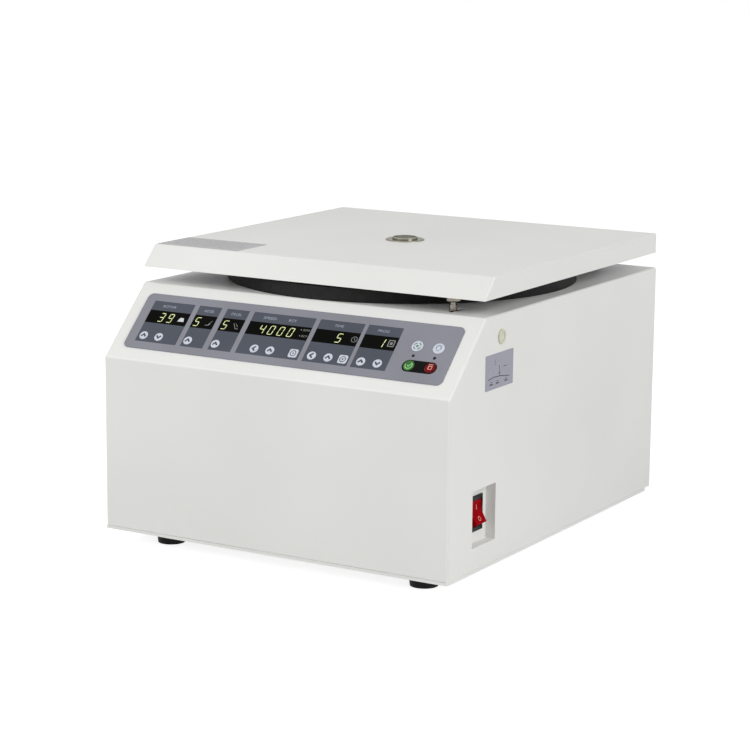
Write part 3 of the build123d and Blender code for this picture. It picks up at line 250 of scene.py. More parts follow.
# %% [markdown]
# ## Printed film, print and displays
# The keypad is a polycarbonate film with a fine matt texture on its face, drawn a little coarser than it
# is, and it is printed in grey from behind. The slate blocks, words and signs are further layers of the
# same print, so they share its satin gloss.
# The display windows are clear film over smoked acrylic: smooth and nearly black, with almost no
# reflection, so that the digits stand out. The digits are lit segments, so part of their light is a
# gentle emission, which drifts a little from place to place as lamps behind the bars leave it.


# %% Film, print, acrylic and lit segments
def printed_film(name, shade, light, roughness=0.45, gloss=0.25):
    """Satin print on film: a soft drift of tone, and the film's fine matt texture in low relief."""
    material, tree, shader = start(name, light, roughness, Specular_IOR_Level=gloss)
    tint(tree, shader, noise(tree, 60 * mm, detail=1.0), shade, light, 0.3, 0.7)
    emboss(tree, shader, noise(tree, 0.5 * mm, detail=2.0), 0.004 * mm)
    return material


def lit_segment(name, shade, light, strength):
    """A lit bar or sign: its tone runs from shade to light in lumps the size of the lamp behind it."""
    material, tree, shader = start(name, shade, 0.5)
    glow = noise(tree, 3 * mm, detail=1.0)
    tint(tree, shader, glow, shade, light)
    ramp = tree.nodes["Color Ramp"]
    tree.links.new(ramp.outputs["Color"], shader.inputs["Emission Color"])
    shader.inputs["Emission Strength"].default_value = strength
    return material


film_grey = printed_film("polycarbonate_film_grey_print", "84848d", "8b8b95", 0.42)
print_slate = printed_film("slate_print", "444954", "4a4f5a")
print_black = printed_film("black_print", "0b0b0a", "131312", 0.40, 0.05)
print_pale = printed_film("pale_print", "c4c8cc", "d6dadd")
print_heading = printed_film("muted_heading_print", "9ca3b0", "a8afbc")
print_dark = printed_film("dark_glyph_print", "3a3e49", "484c57")
print_rose = printed_film("rose_white_mark", "d88c8a", "e49e9a", 0.40)
print_ink = printed_film("dark_label_ink", "2e2e3c", "3c3c4c")
print_faint = printed_film("faint_label_ink", "8a8a98", "9494a2")
print_leaf = printed_film("leaf_green_glyph_print", "4c7a55", "5c8c66")
print_mist = printed_film("blue_grey_glyph_print", "78839a", "8791a6")
print_dim = printed_film("dim_display_print", "7c7e7c", "969894")
smoked = moulded("smoked_acrylic", "050604", "090b07", 0.14, 8 * mm, 0.002 * mm, gloss=0.03)
digit_light = lit_segment("lit_yellow_green_segment", "bcc682", "dce2ac", 0.45)
print("film, print and display finishes ready")

# %% [markdown]
# ## Coloured keys and status lamps
# The start and stop keys are tinted ABS, with a softly lit sign on each cap. The two status lamps are
# off: dark lenses with a touch of violet. The functions above make them all.

# %% Tinted keys, lit signs and dark lamps
key_green = moulded("green_tinted_abs", "2b6226", "3b7832", 0.30, 0.6 * mm, 0.004 * mm, gloss=0.3)
key_red = moulded("red_tinted_abs", "5e0709", "740c0f", 0.30, 0.6 * mm, 0.004 * mm, gloss=0.1)
glow_green = lit_segment("lit_green_sign", "80b874", "9acc8c", 0.2)
glow_red = lit_segment("lit_red_sign", "cc7a70", "de9a90", 0.2)
lamp_dark = moulded("dark_violet_lens", "1a1620", "28222e", 0.12, 0.8 * mm, 0.002 * mm, gloss=0.1)
print("tinted finishes ready")

# %% [markdown]
# ## Foil, glass and inner parts
# The two labels are brushed polyester foil, violet-grey on the side and silver on the lid, and the sight
# port's glass is dark olive. The rotor inside is anodised aluminium. Each finish follows how its surface
# was made: lines for brushing, a fine even sparkle for bead blasting, a grid of tracks for a board.


# %% Brushed foil, circuit board and anodised aluminium
def brushed_foil(name, shade, light):
    """Foil with fine level lines on an upright face, drawn coarser than they are so that they show."""
    material, tree, shader = start(name, light, 0.42, 0.25)
    lines = noise(tree, 0.35 * mm, stretch=(0.06, 0.06, 1.0), detail=2.0)
    tint(tree, shader, lines, shade, light)
    vary_gloss(tree, shader, lines, 0.36, 0.50)
    return material


def circuit_board(name):
    """Solder mask over copper tracks: a blocky grid of slightly lighter green lines."""
    material, tree, shader = start(name, "1f5a34", 0.35, Coat_Weight=0.3)
    where = add(tree, "ShaderNodeTexCoord").outputs["Object"]
    laid = {"Vector": where, "Scale": 1 / (5 * mm), "Randomness": 0.35}
    tracks = add(tree, "ShaderNodeTexVoronoi", laid, feature="DISTANCE_TO_EDGE", distance="MANHATTAN")
    tint(tree, shader, tracks.outputs["Distance"], "3c7f4f", "1c5230", 0.04, 0.09)
    emboss(tree, shader, tracks.outputs["Distance"], 0.02 * mm)
    return material


def anodised(name):
    """Bead-blasted and anodised aluminium: cool grey, with a fine even sparkle that is drawn coarser."""
    material, tree, shader = start(name, "aeb1b6", 0.36, 1.0)
    tint(tree, shader, noise(tree, 6 * mm), "a4a7ac", "b9bcc1")
    emboss(tree, shader, noise(tree, 0.7 * mm, detail=3.0), 0.012 * mm)
    return material


foil = brushed_foil("brushed_violet_grey_foil", "8d8d9b", "9a9aa7")
lid_foil = brushed_foil("brushed_silver_foil", "a6a6a6", "b1b1b1")
board = circuit_board("green_circuit_board")
aluminium = anodised("anodised_aluminium")
cast_iron = moulded("painted_cast_motor_housing", "3c4145", "4a5054", 0.5, 2.2 * mm, 0.05 * mm)
dark_glass = moulded("olive_sight_glass", "38371f", "53523a", 0.30, 10 * mm, 0.001 * mm, gloss=0.03)
print("foil, board, aluminium, casting and glass ready")

# %% [markdown]
# ## Finishes for the loaded parts
# The record that came with the solids names a material slot for each of them. Here each slot is paired
# with its finish, and every loaded part gets the finish of its slot. Two parts then get a finish of
# their own: the lid's label, whose foil is silver, and the striker, which is chromed.

# %% Give every loaded part its finish
finishes = {
    "cabinet_paint": cabinet_paint,
    "zinc_sheet": zinc,
    "stainless": stainless,
    "turned_steel": polished,
    "black_rubber": rubber,
    "overlay_print": film_grey,
    "display_black": print_black,
    "display_window": smoked,
    "circuit_board": board,
    "led_lens": lamp_dark,
    "key_pale": key_abs,
    "key_green": key_green,
    "key_red": key_red,
    "switch_black": nylon,
    "rocker_red": red_clear,
    "plug_cream": cream,
    "label_foil": foil,
    "motor_iron": cast_iron,
    "rotor_aluminium": aluminium,
    "dark_glass": dark_glass,
}
slots = {part["node"]: part["material_slot"] for part in frame["record"]["subparts"]}
for node, loaded in frame["nodes"].items():
    loaded.data.materials[0] = finishes[slots[node]]
frame["nodes"]["lid_label"].data.materials[0] = lid_foil
# The striker gets the dark chrome, whose colour holds painted shade from the gap under the lid.
frame["nodes"]["lid_striker"].data.materials[0] = chrome
print("finished", len(slots), "loaded parts")

# %% [markdown]
# ## Flat shapes from outlines
# Print, signs on keys and labels are flat shapes a few hundredths of a millimetre thick. Pushing faces
# around by hand would be slow. Here each shape is a closed outline, a list of points in millimetres, and
# four small functions draw all that are needed: a rectangle, a circle, an arc, and a line with a width.


# %% Outlines in millimetres
mitre_limit = 0.3


def rounded(x0, y0, x1, y1, radius=0.0, steps=6):
    """Rectangle from corner to corner, with round corners."""
    if radius == 0:
        return [(x0, y0), (x1, y0), (x1, y1), (x0, y1)]
    centres = [(x1 - radius, y1 - radius), (x0 + radius, y1 - radius)]
    centres += [(x0 + radius, y0 + radius), (x1 - radius, y0 + radius)]
    turns = [(q + s / steps) * pi / 2 for q in range(4) for s in range(steps + 1)]
    corners = [centres[i // (steps + 1)] for i in range(4 * (steps + 1))]
    return [(c[0] + radius * cos(t), c[1] + radius * sin(t)) for c, t in zip(corners, turns)]


def circle(x, y, radius, steps=48):
    """Circle round a point, as that many corners."""
    turns = [2 * pi * s / steps for s in range(steps)]
    return [(x + radius * cos(t), y + radius * sin(t)) for t in turns]


def arc(x, y, radius, begin, end, steps=20):
    """Points along an arc between two angles in degrees, as the middle line of a stroke."""
    turns = [radians(begin + (end - begin) * s / steps) for s in range(steps + 1)]
    return [(x + radius * cos(t), y + radius * sin(t)) for t in turns]


def stroke(points, width):
    """Outline of a line of that width through points, with short mitres and square ends."""
    spots = [Vector(p) for p in points]
    runs = [(b - a).normalized() for a, b in zip(spots, spots[1:])]
    left, right = [], []
    for i, spot in enumerate(spots):
        before = runs[max(i - 1, 0)]
        after = runs[min(i, len(runs) - 1)]
        normal = Vector((-before.y - after.y, before.x + after.x)).normalized()
        reach = width / 2 / max(normal.dot(Vector((-after.y, after.x))), mitre_limit)
        left.append(tuple(spot + normal * reach))
        right.append(tuple(spot - normal * reach))
    return left + right[::-1]


print("a circle's outline has", len(circle(0, 0, 1)), "points")

# %% [markdown]
# ## From outline to piece
# A filled 2D curve turns outlines into faces, cuts the inner ones out as holes, and its extrude setting
# gives the thickness. The curve becomes a plain mesh first, and only then goes to its place. A piece
# then needs two more things: its finish and a body that it rides on.


# %% Cut plates from outlines, and show meshes as pieces
weld_distance = 1e-7
crease = radians(35)


def cut_plate(outlines, bottom, top, place):
    """Mesh of a plate between two heights in mm, cut to closed outlines, and laid in its place."""
    shape = bpy.data.curves.new("shape", "CURVE")
    shape.dimensions = "2D"
    shape.fill_mode = "BOTH"
    shape.extrude = (top - bottom) / 2
    for outline in outlines:
        spline = shape.splines.new("POLY")
        spline.points.add(len(outline) - 1)
        for point, (x, y) in zip(spline.points, outline):
            point.co = (x, y, 0, 1)
        spline.use_cyclic_u = True
    return laid_mesh(shape, (bottom + top) / 2, place)


def laid_mesh(shape, height, place):
    """Turns a curve or text in mm into a mesh at that height, welds it and lays it in its place."""
    carrier = bpy.data.objects.new("carrier", shape)
    mesh = bpy.data.meshes.new_from_object(carrier)
    bpy.data.objects.remove(carrier)
    bpy.data.curves.remove(shape)
    mesh.transform(place @ Matrix.Scale(mm, 4) @ Matrix.Translation((0, 0, height)))
    weld(mesh)
    return mesh


def weld(mesh):
    """Merges corners that are closer than the weld distance, and turns every face outwards."""
    work = bmesh.new()
    work.from_mesh(mesh)
    bmesh.ops.remove_doubles(work, verts=work.verts, dist=weld_distance)
    bmesh.ops.recalc_face_normals(work, faces=work.faces)
    work.to_mesh(mesh)
    work.free()


def piece(name, mesh, material, body):
    """Shows a mesh as a piece of its own, which rides on a body."""
    mesh.name = name
    mesh.materials.clear()
    mesh.materials.append(material)
    mesh.shade_smooth()
    mesh.set_sharp_from_angle(angle=crease)
    made = bpy.data.objects.new(name, mesh)
    bpy.context.scene.collection.objects.link(made)
    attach(made, body)
    return made


print("plate cutter ready")

# %% [markdown]
# ## The sloping panel
# Everything printed lies on the slope, so it is drawn flat, in millimetres: x runs along the panel, y up
# the slope from its foot, and height outwards from the sheet metal. One matrix then lays the drawing on
# the real panel. The film stands a little over a millimetre proud, and a layer of ink on it is thin.

# %% Where the panel lies
slope_rise, slope_setback = 72.6, 74.1
slope_angle = atan2(slope_rise, slope_setback)
slope_foot = Vector((0, -245.5, 210.4)) * mm
slope_up = Vector((0, cos(slope_angle), sin(slope_angle)))
slope_out = Vector((0, -sin(slope_angle), cos(slope_angle)))
slope_axes = Matrix((Vector((1, 0, 0)), slope_up, slope_out)).transposed()
panel = Matrix.Translation(slope_foot) @ slope_axes.to_4x4()
film_face, ink = 1.2, 0.03
print_top = film_face + ink
print("slope angle", round(slope_angle * 180 / pi, 1), "degrees")

# %% [markdown]
# ## Slate blocks
# Six slate blocks group the displays with their keys. A block is printed above and below its window,
# and the ink stops at each key's hole, so a thin shadow line is left round every key. All print on the
# film is made in one way: outlines become a plate as thick as a layer of ink, which rides on the cabinet.


# %% Print the slate blocks round the windows and keys
def printed(name, outlines, material):
    """Shows outlines as a layer of ink on the film."""
    mesh = cut_plate(outlines, film_face, print_top, panel)
    return piece(name, mesh, material, "cabinet")


blocks = {
    "rotor": (-186.0, -132.5),
    "rise": (-126.4, -97.4),
    "fall": (-90.4, -61.5),
    "speed": (-55.2, 22.7),
    "time": (28.2, 82.8),
    "program": (87.3, 129.0),
}
block_foot, window_foot, window_head, block_head = 24.5, 50.0, 67.0, 79.3
key_row = 32.4
key_hole = 5.35
mode_hole, mode_corner = 5.5, 2.2
round_keys = {
    "key_rotor_up": -177.8,
    "key_rotor_down": -158.0,
    "key_accel_up": -119.7,
    "key_decel_up": -84.0,
    "key_speed_shift": -34.3,
    "key_speed_up": -14.4,
    "key_time_shift": 37.4,
    "key_time_up": 57.6,
    "key_program_up": 97.1,
    "key_program_down": 117.0,
}
mode_keys = {"key_speed_mode": 14.8, "key_time_mode": 75.5}
slate = [rounded(x0, block_foot, x1, window_foot) for x0, x1 in blocks.values()]
slate += [rounded(x0, window_head, x1, block_head) for x0, x1 in blocks.values()]
slate += [circle(x, key_row, key_hole) for x in round_keys.values()]
for x in mode_keys.values():
    low, high = key_row - mode_hole, key_row + mode_hole
    slate.append(rounded(x - mode_hole, low, x + mode_hole, high, mode_corner))
slate_blocks = printed("slate_blocks", slate, print_slate)
print("slate blocks:", len(slate_blocks.data.polygons), "faces")

# %% [markdown]
# ## Start and stop surround
# The start and stop keys stand in one black pill, which makes them easy to find. It is one rounded
# rectangle with a hole for each key.

# %% Print the black pill
left_column, right_column = 153.2, 178.1
large_row, small_row = 59.25, 34.7
pill_hole = 6.35
pill = [rounded(145.4, 27.2, 185.7, 41.9, 7.3, 16)]
pill += [circle(x, small_row, pill_hole) for x in (left_column, right_column)]
printed("start_stop_pill", pill, print_black)
print("pill printed")

# %% [markdown]
# ## Seven-segment digits
# A seven-segment digit leans a little and is made of seven pointed bars, of which some are lit. The bars
# are drawn once, standing up. Each digit takes the bars it needs, leans them and moves them along.

# %% Draw the lit digits
digit_foot, digit_height, digit_width = 52.3, 11.7, 6.2
bar, bar_gap, lean = 0.85, 0.16, 0.16
bar_thickness = 0.02
lit_bars = {"0": "abcdef", "1": "bc", "3": "abcdg", "4": "bcfg", "5": "acdfg", "9": "abcdfg"}


def bar_outline(begin, end):
    """A bar from begin to end, pointed at both ends."""
    run = (Vector(end) - Vector(begin)).normalized()
    side = Vector((-run.y, run.x)) * bar / 2
    a = Vector(begin) + run * bar_gap
    b = Vector(end) - run * bar_gap
    point = run * bar / 2
    return [a, a + point + side, b - point + side, b, b - point - side, a + point - side]


def digit_outlines(digit, x):
    """Outlines of the lit bars of a digit whose lower left corner stands at x."""
    w, h, m = digit_width - bar, digit_height - bar, (digit_height - bar) / 2
    ends = {"a": ((0, h), (w, h)), "b": ((w, m), (w, h)), "c": ((w, 0), (w, m)), "d": ((0, 0), (w, 0))}
    ends.update({"e": ((0, 0), (0, m)), "f": ((0, m), (0, h)), "g": ((0, m), (w, m))})
    made = []
    for name in lit_bars[digit]:
        spots = bar_outline(*ends[name])
        made.append([(x + bar / 2 + p.x + lean * p.y, digit_foot + bar / 2 + p.y) for p in spots])
    return made


readings = [("3", -171.0), ("9", -159.4), ("5", -124.0), ("5", -87.9), ("4", -40.2), ("0", -28.6)]
readings += [("0", -16.6), ("0", -4.4), ("5", 55.4), ("1", 107.0)]
digits = [outline for digit, x in readings for outline in digit_outlines(digit, x)]
digit_mesh = cut_plate(digits, film_face, film_face + bar_thickness, panel)
piece("display_digits", digit_mesh, digit_light, "cabinet")
print("lit bars:", len(digits))

# %% [markdown]
# ## Words on the film
# Each block has a muted heading that says what its keys set, and the speed window two unit marks. Words
# are text objects, turned into meshes and stretched to the size they have on the film. Words of one kind
# are joined into one piece.


# %% Print the headings
def word(text, x0, x1, foot, height):
    """Mesh of a word from x0 to x1 on the panel, of that height, just on the film."""
    shape = bpy.data.curves.new("word", "FONT")
    shape.body = text
    shape.extrude = ink / 2
    mesh = laid_mesh(shape, 0, Matrix.Scale(1 / mm, 4))
    spots = [v.co for v in mesh.vertices]
    low = Vector((min(s.x for s in spots), min(s.y for s in spots), 0))
    high = Vector((max(s.x for s in spots), max(s.y for s in spots), 0))
    fit = Matrix.Diagonal(((x1 - x0) / (high.x - low.x), height / (high.y - low.y), 1, 1))
    lift = Matrix.Translation((x0, foot, print_top))
    mesh.transform(panel @ Matrix.Scale(mm, 4) @ lift @ fit @ Matrix.Translation(-low))
    return mesh


def joined(meshes):
    """One mesh from several."""
    work = bmesh.new()
    for mesh in meshes:
        work.from_mesh(mesh)
    made = bpy.data.meshes.new("joined")
    work.to_mesh(made)
    work.free()
    return made


heading_foot, heading_height, unit_height = 71.6, 3.1, 2.6
headings = [("ROTOR", -171.9, -155.0), ("ACCEL", -118.0, -104.6), ("DECEL", -82.6, -69.2)]
headings += [("SPEED", -41.2, -24.8), ("RCF", -9.2, 0.2), ("TIME", 47.7, 58.9), ("PROG", 100.6, 114.2)]
heading_mesh = joined([word(*heading, heading_foot, heading_height) for heading in headings])
piece("block_headings", heading_mesh, print_heading, "cabinet")
units = [("RPM", 13.6, 21.2, 61.6), ("RCF", 14.4, 21.4, 54.0)]
unit_mesh = joined([word(*unit, unit_height) for unit in units])
piece("unit_marks", unit_mesh, print_dim, "cabinet")
print("headings:", ", ".join(h[0] for h in headings))

# %% [markdown]
# ## Signs in the windows
# Each window has a small sign that says what its digits mean: a rotor, a ramp up, a ramp down, a dot
# beside each unit mark, a clock face and a program page. They are strokes and circles. The rotor is
# bright, and the others are dim, so that they don't compete with the digits.

# %% Print the signs in the windows
rotor_sign = [[(-145.2, 55.4), (-137.0, 55.4), (-138.6, 60.4), (-143.2, 60.4)]]
program_sign = [rounded(118.4, 54.6, 126.2, 63.2, 0.8), rounded(119.5, 55.7, 125.1, 62.1, 0.5)]
program_sign.append(rounded(120.9, 57.0, 123.7, 60.6, 0.3))
printed("rotor_window_sign", rotor_sign, print_pale)
ramp_up = [stroke([(-108.4, 54.8), (-105.4, 54.8), (-101.6, 61.2)], 0.7)]
ramp_up += [stroke([(x, 54.9), (x, 54.9 + rise)], 0.6) for x, rise in ((-104.0, 1.9), (-102.6, 4.2))]
ramp_down = [stroke([(-73.6, 61.2), (-69.6, 54.8), (-65.8, 54.8)], 0.7)]
ramp_down += [stroke([(-71.2, 61.2), (-67.2, 57.2)], 0.6)]
clock = [circle(77.9, 58.6, 3.7), circle(77.9, 58.6, 3.0)]
clock.append(stroke([(77.9, 60.9), (77.9, 58.4), (79.7, 57.2)], 0.6))
dots = [circle(10.9, 62.9, 0.75, 24), circle(12.1, 55.3, 0.75, 24)]
dim_signs = ramp_up + ramp_down + clock + dots + program_sign
printed("dim_window_signs", dim_signs, print_dim)
print("window signs printed")

# %% [markdown]
# ## Signs on the keys
# Arrows and signs are printed on the caps, which stand a little above the film. A sign rides on its own
# key, so it goes in with the cap when the key is pressed.

# %% Print a sign on each key
key_face = 1.8
sign_top = key_face + ink
chevron_half_width, chevron_half_height, chevron_stroke = 2.9, 1.6, 1.9


def chevron(x, y, turn):
    """A thick arrow head round a point, turned by that many degrees from pointing up."""
    w, h = chevron_half_width, chevron_half_height
    c, s = cos(radians(turn)), sin(radians(turn))
    tip = [(x + c * a - s * b, y + s * a + c * b) for a, b in ((-w, -h), (0.0, h), (w, -h))]
    return [stroke(tip, chevron_stroke)]


def key_sign(key, outlines, material):
    """Shows outlines as a thin sign on a key's cap, named after the key and riding on it."""
    mesh = cut_plate(outlines, key_face, sign_top, panel)
    return piece(key.replace("key_", "sign_"), mesh, material, key)


pointing = {"up": 0, "down": 180, "shift": 90}
for key, x in round_keys.items():
    key_sign(key, chevron(x, key_row, pointing[key.split("_")[-1]]), print_dark)
for key, x in mode_keys.items():
    ring = [circle(x, key_row, 3.7), circle(x, key_row, 2.8), circle(x, key_row, 1.0, 24)]
    key_sign(key, ring, print_dark)
print("signs on", len(round_keys) + len(mode_keys), "pale keys")

# %% [markdown]
# ## Signs on the four large keys
# The two keys for the lid and the chamber lamp have a broken ring and a bulb in muted colours. The start
# key has a tick in an open ring, and the stop key a square with a bar above it, both softly lit.

# %% Draw a ring, a bulb, a tick and a square
arcs = [stroke(arc(left_column, large_row, 3.9, q + 14, q + 76), 1.2) for q in range(0, 360, 90)]
key_sign("key_lid_open", arcs + [circle(left_column, large_row, 1.5, 24)], print_leaf)
bulb = [stroke(arc(right_column, large_row + 0.7, 2.8, -50, 230), 1.2)]
bulb.append(rounded(right_column - 1.5, large_row - 3.4, right_column + 1.5, large_row - 2.2, 0.4))
key_sign("key_lamp", bulb, print_mist)
tick = [(left_column - 1.6, small_row + 0.6), (left_column, small_row - 1.4)]
tick.append((left_column + 2.4, small_row + 2.2))
go = [stroke(arc(left_column, small_row, 3.9, -200, 60), 0.9), stroke(tick, 0.9)]
key_sign("key_start", go, glow_green)
halt = []
for r, corner in ((2.4, 0.8), (1.5, 0.4)):
    low, high = small_row - r, small_row + r
    halt.append(rounded(right_column - r, low, right_column + r, high, corner))
halt += [stroke([(right_column - 2.6, small_row + 3.9), (right_column + 2.6, small_row + 3.9)], 0.8)]
key_sign("key_stop", halt, glow_red)
print("signs on 4 large keys")

# %% [markdown]
# ## Marks on the power switch
# The rocker carries the usual I and O, in a rose white that the red behind it tints. It rests with its
# upper half pressed in, so that half stands upright and the lower one leans out. Each mark is drawn flat
# and laid on its half, sunk in a little so that it doesn't float.

# %% Mark the rocker
rocker_valley = Vector((205.93, -168.5, 77.67)) * mm
pressed_lean, proud_lean = radians(5), radians(29)
mark_root, mark_face = -0.02, 0.05


def side_place(centre, lean):
    """Matrix of a place on the right side: x to the rear, y up, z outwards, leaning to face upwards."""
    out = Vector((cos(lean), 0, sin(lean)))
    rise = Vector((-sin(lean), 0, cos(lean)))
    axes = Matrix((Vector((0, 1, 0)), rise, out)).transposed()
    return Matrix.Translation(centre) @ axes.to_4x4()


upper_half = side_place(rocker_valley, pressed_lean)
lower_half = side_place(rocker_valley, proud_lean)
on_mark = cut_plate([rounded(-0.55, 3.2, 0.55, 8.2, 0.2)], mark_root, mark_face, upper_half)
off_ring = [circle(0, -7.0, 2.6), circle(0, -7.0, 1.8)]
off_mark = cut_plate(off_ring, mark_root, mark_face, lower_half)
piece("rocker_marks", joined([on_mark, off_mark]), print_rose, "rocker")
print("rocker marked")

# %% [markdown]
# ## What the side label carries
# The foil label on the side carries a small plain diagram: a long bent line, a post on it, and a few
# dashes. It is strokes again, laid on the side wall.

# %% Print the side label
side_label = side_place(Vector((215.3, -141.75, 224.8)) * mm, 0)
lines = [stroke([(-24.0, -7.2), (-13.0, -5.8), (2.0, -6.4), (22.0, -9.2)], 0.9)]
lines += [stroke([(0.0, -5.9), (0.0, 5.0)], 0.9), stroke([(-10.0, 6.4), (-10.0, 12.0)], 0.7)]
lines += [stroke([(-3.4, -3.0), (3.4, -3.0)], 0.5), stroke([(9.0, 2.6), (17.0, 2.6)], 0.7)]
lines += [stroke([(x, -12.9), (x + 6.5, -12.9)], 1.6) for x in (-21.0, -7.5, 11.5)]
lines += [stroke([(x, -10.4), (x + 3.5, -10.4)], 0.7) for x in (-19.5, -6.0, 13.0)]
piece("side_label_lines", cut_plate(lines, 0, ink, side_label), print_ink, "cabinet")
print("side label lines:", len(lines))

# %% [markdown]
# ## What the lid's label carries
# The lid's label carries rows of short faint dashes in place of words. Their lengths follow a small rule
# on the row and the place, which looks irregular and comes out the same each time.

# %% Print the lid label
lid_label_low, lid_label_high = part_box("lid_label")
row_count, row_pitch, row_margin = 8, 6.0, 7.0
shortest, spread, dash_gap, dash_width, last_room = 5.0, 7.0, 2.6, 1.1, 8
rows = []
for row in range(row_count):
    y = lid_label_high.y / mm - row_margin - row * row_pitch
    x = lid_label_low.x / mm + row_margin
    while x < lid_label_high.x / mm - row_margin - last_room:
        length = shortest + spread * ((row * 5 + int(x) * 3) % 4) / 3
        rows.append(stroke([(x, y), (x + length, y)], dash_width))
        x += length + dash_gap
foil_face = lid_label_high.z / mm
lid_rows = cut_plate(rows, foil_face, foil_face + ink, Matrix.Identity(4))
piece("lid_label_lines", lid_rows, print_faint, "lid")
print("lid label dashes:", len(rows))

# %% [markdown]
# ## Screws: the domed head
# Pan-head screws with a cross recess hold the rear panel and the feet. They are all alike, which is what
# Geometry Nodes are for: one node tree makes one screw from its sizes and sets it at every point of a
# small mesh. The head starts as a cylinder with rings on its caps. Each point of the upper cap is moved
# down by how far out it is, raised to a power, which leaves the middle flat and rounds the rim over.


# %% Nodes for a domed head
dome_power, rim_drop = 2.6, 0.55


def domed_head(tree, radius, height):
    """Socket of a pan head, centred on the origin, whose rim lies lower than its middle."""
    blank = {"Vertices": 40, "Side Segments": 2, "Fill Segments": 5, "Radius": radius, "Depth": height}
    disc = add(tree, "GeometryNodeMeshCylinder", blank, fill_type="TRIANGLE_FAN").outputs["Mesh"]
    place = add(tree, "GeometryNodeInputPosition").outputs[0]
    spot = add(tree, "ShaderNodeSeparateXYZ", {"Vector": place})
    across = add(tree, "ShaderNodeCombineXYZ", {"X": spot.outputs["X"], "Y": spot.outputs["Y"]})
    reach = add(tree, "ShaderNodeVectorMath", {"Vector": across.outputs[0]}, operation="LENGTH")
    share = add(tree, "ShaderNodeMath", {0: reach.outputs["Value"], 1: radius}, operation="DIVIDE")
    curve = add(tree, "ShaderNodeMath", {0: share.outputs[0], 1: dome_power}, operation="POWER")
    drop = add(tree, "ShaderNodeMath", {0: curve.outputs[0], 1: height}, operation="MULTIPLY")
    down = add(tree, "ShaderNodeMath", {0: drop.outputs[0], 1: -rim_drop}, operation="MULTIPLY")
    top = add(tree, "ShaderNodeMath", {0: spot.outputs["Z"], 1: 0.0}, operation="GREATER_THAN")
    sunk = add(tree, "ShaderNodeCombineXYZ", {"Z": down.outputs[0]})
    domed = {"Geometry": disc, "Selection": top.outputs[0], "Offset": sunk.outputs[0]}
    return add(tree, "GeometryNodeSetPosition", domed).outputs["Geometry"]


print("dome nodes ready")

# %% [markdown]
# ## Screws: the recess and the shank
# The cross recess is cut with two crossed bars, which are a little longer than the head's radius and sink
# into its upper part. A plain shank below the head goes into the panel, so that the head never floats.


# %% Nodes for the recess and the shank
recess_reach, recess_lift = 1.15, 0.45


def cross_cut(tree, head, radius, height, width):
    """Socket of the head with a cross of that width cut into it."""
    span = add(tree, "ShaderNodeMath", {0: radius, 1: recess_reach}, operation="MULTIPLY").outputs[0]
    long_bar = add(tree, "ShaderNodeCombineXYZ", {"X": span, "Y": width, "Z": height})
    wide_bar = add(tree, "ShaderNodeCombineXYZ", {"X": width, "Y": span, "Z": height})
    lift = add(tree, "ShaderNodeMath", {0: height, 1: recess_lift}, operation="MULTIPLY").outputs[0]
    above = add(tree, "ShaderNodeCombineXYZ", {"Z": lift}).outputs[0]
    cut = add(tree, "GeometryNodeMeshBoolean", {"Mesh 1": head}, operation="DIFFERENCE", solver="EXACT")
    for size in (long_bar, wide_bar):
        block = add(tree, "GeometryNodeMeshCube", {"Size": size.outputs[0]}).outputs["Mesh"]
        raised = add(tree, "GeometryNodeTransform", {"Geometry": block, "Translation": above})
        tree.links.new(raised.outputs["Geometry"], cut.inputs["Mesh 2"])
    return cut.outputs["Mesh"]


def moved_by(tree, shape, length, share):
    """Socket of a shape that is moved along Z by a share of a length."""
    way = add(tree, "ShaderNodeMath", {0: length, 1: share}, operation="MULTIPLY").outputs[0]
    offset = add(tree, "ShaderNodeCombineXYZ", {"Z": way}).outputs[0]
    moved = add(tree, "GeometryNodeTransform", {"Geometry": shape, "Translation": offset})
    return moved.outputs["Geometry"]


def headed_shank(tree, given):
    """Socket of a whole screw along Z, whose head rests on the level of the origin."""
    radius, height = given["Head Radius"], given["Head Height"]
    head = cross_cut(tree, domed_head(tree, radius, height), radius, height, given["Recess Width"])
    pin = {"Vertices": 24, "Radius": given["Shank Radius"], "Depth": given["Shank Length"]}
    shank = add(tree, "GeometryNodeMeshCylinder", pin).outputs["Mesh"]
    whole = add(tree, "GeometryNodeJoinGeometry")
    tree.links.new(moved_by(tree, head, height, 0.5), whole.inputs["Geometry"])
    tree.links.new(moved_by(tree, shank, given["Shank Length"], -0.5), whole.inputs["Geometry"])
    return whole.outputs["Geometry"]


print("recess and shank nodes ready")

# %% [markdown]
# ## Screws: one at every place
# The tree takes a mesh of single points and sets a screw on each. A seeded random turn leaves the recesses
# at odd angles, as a screwdriver does. Realize Instances makes real faces of the copies at the end.


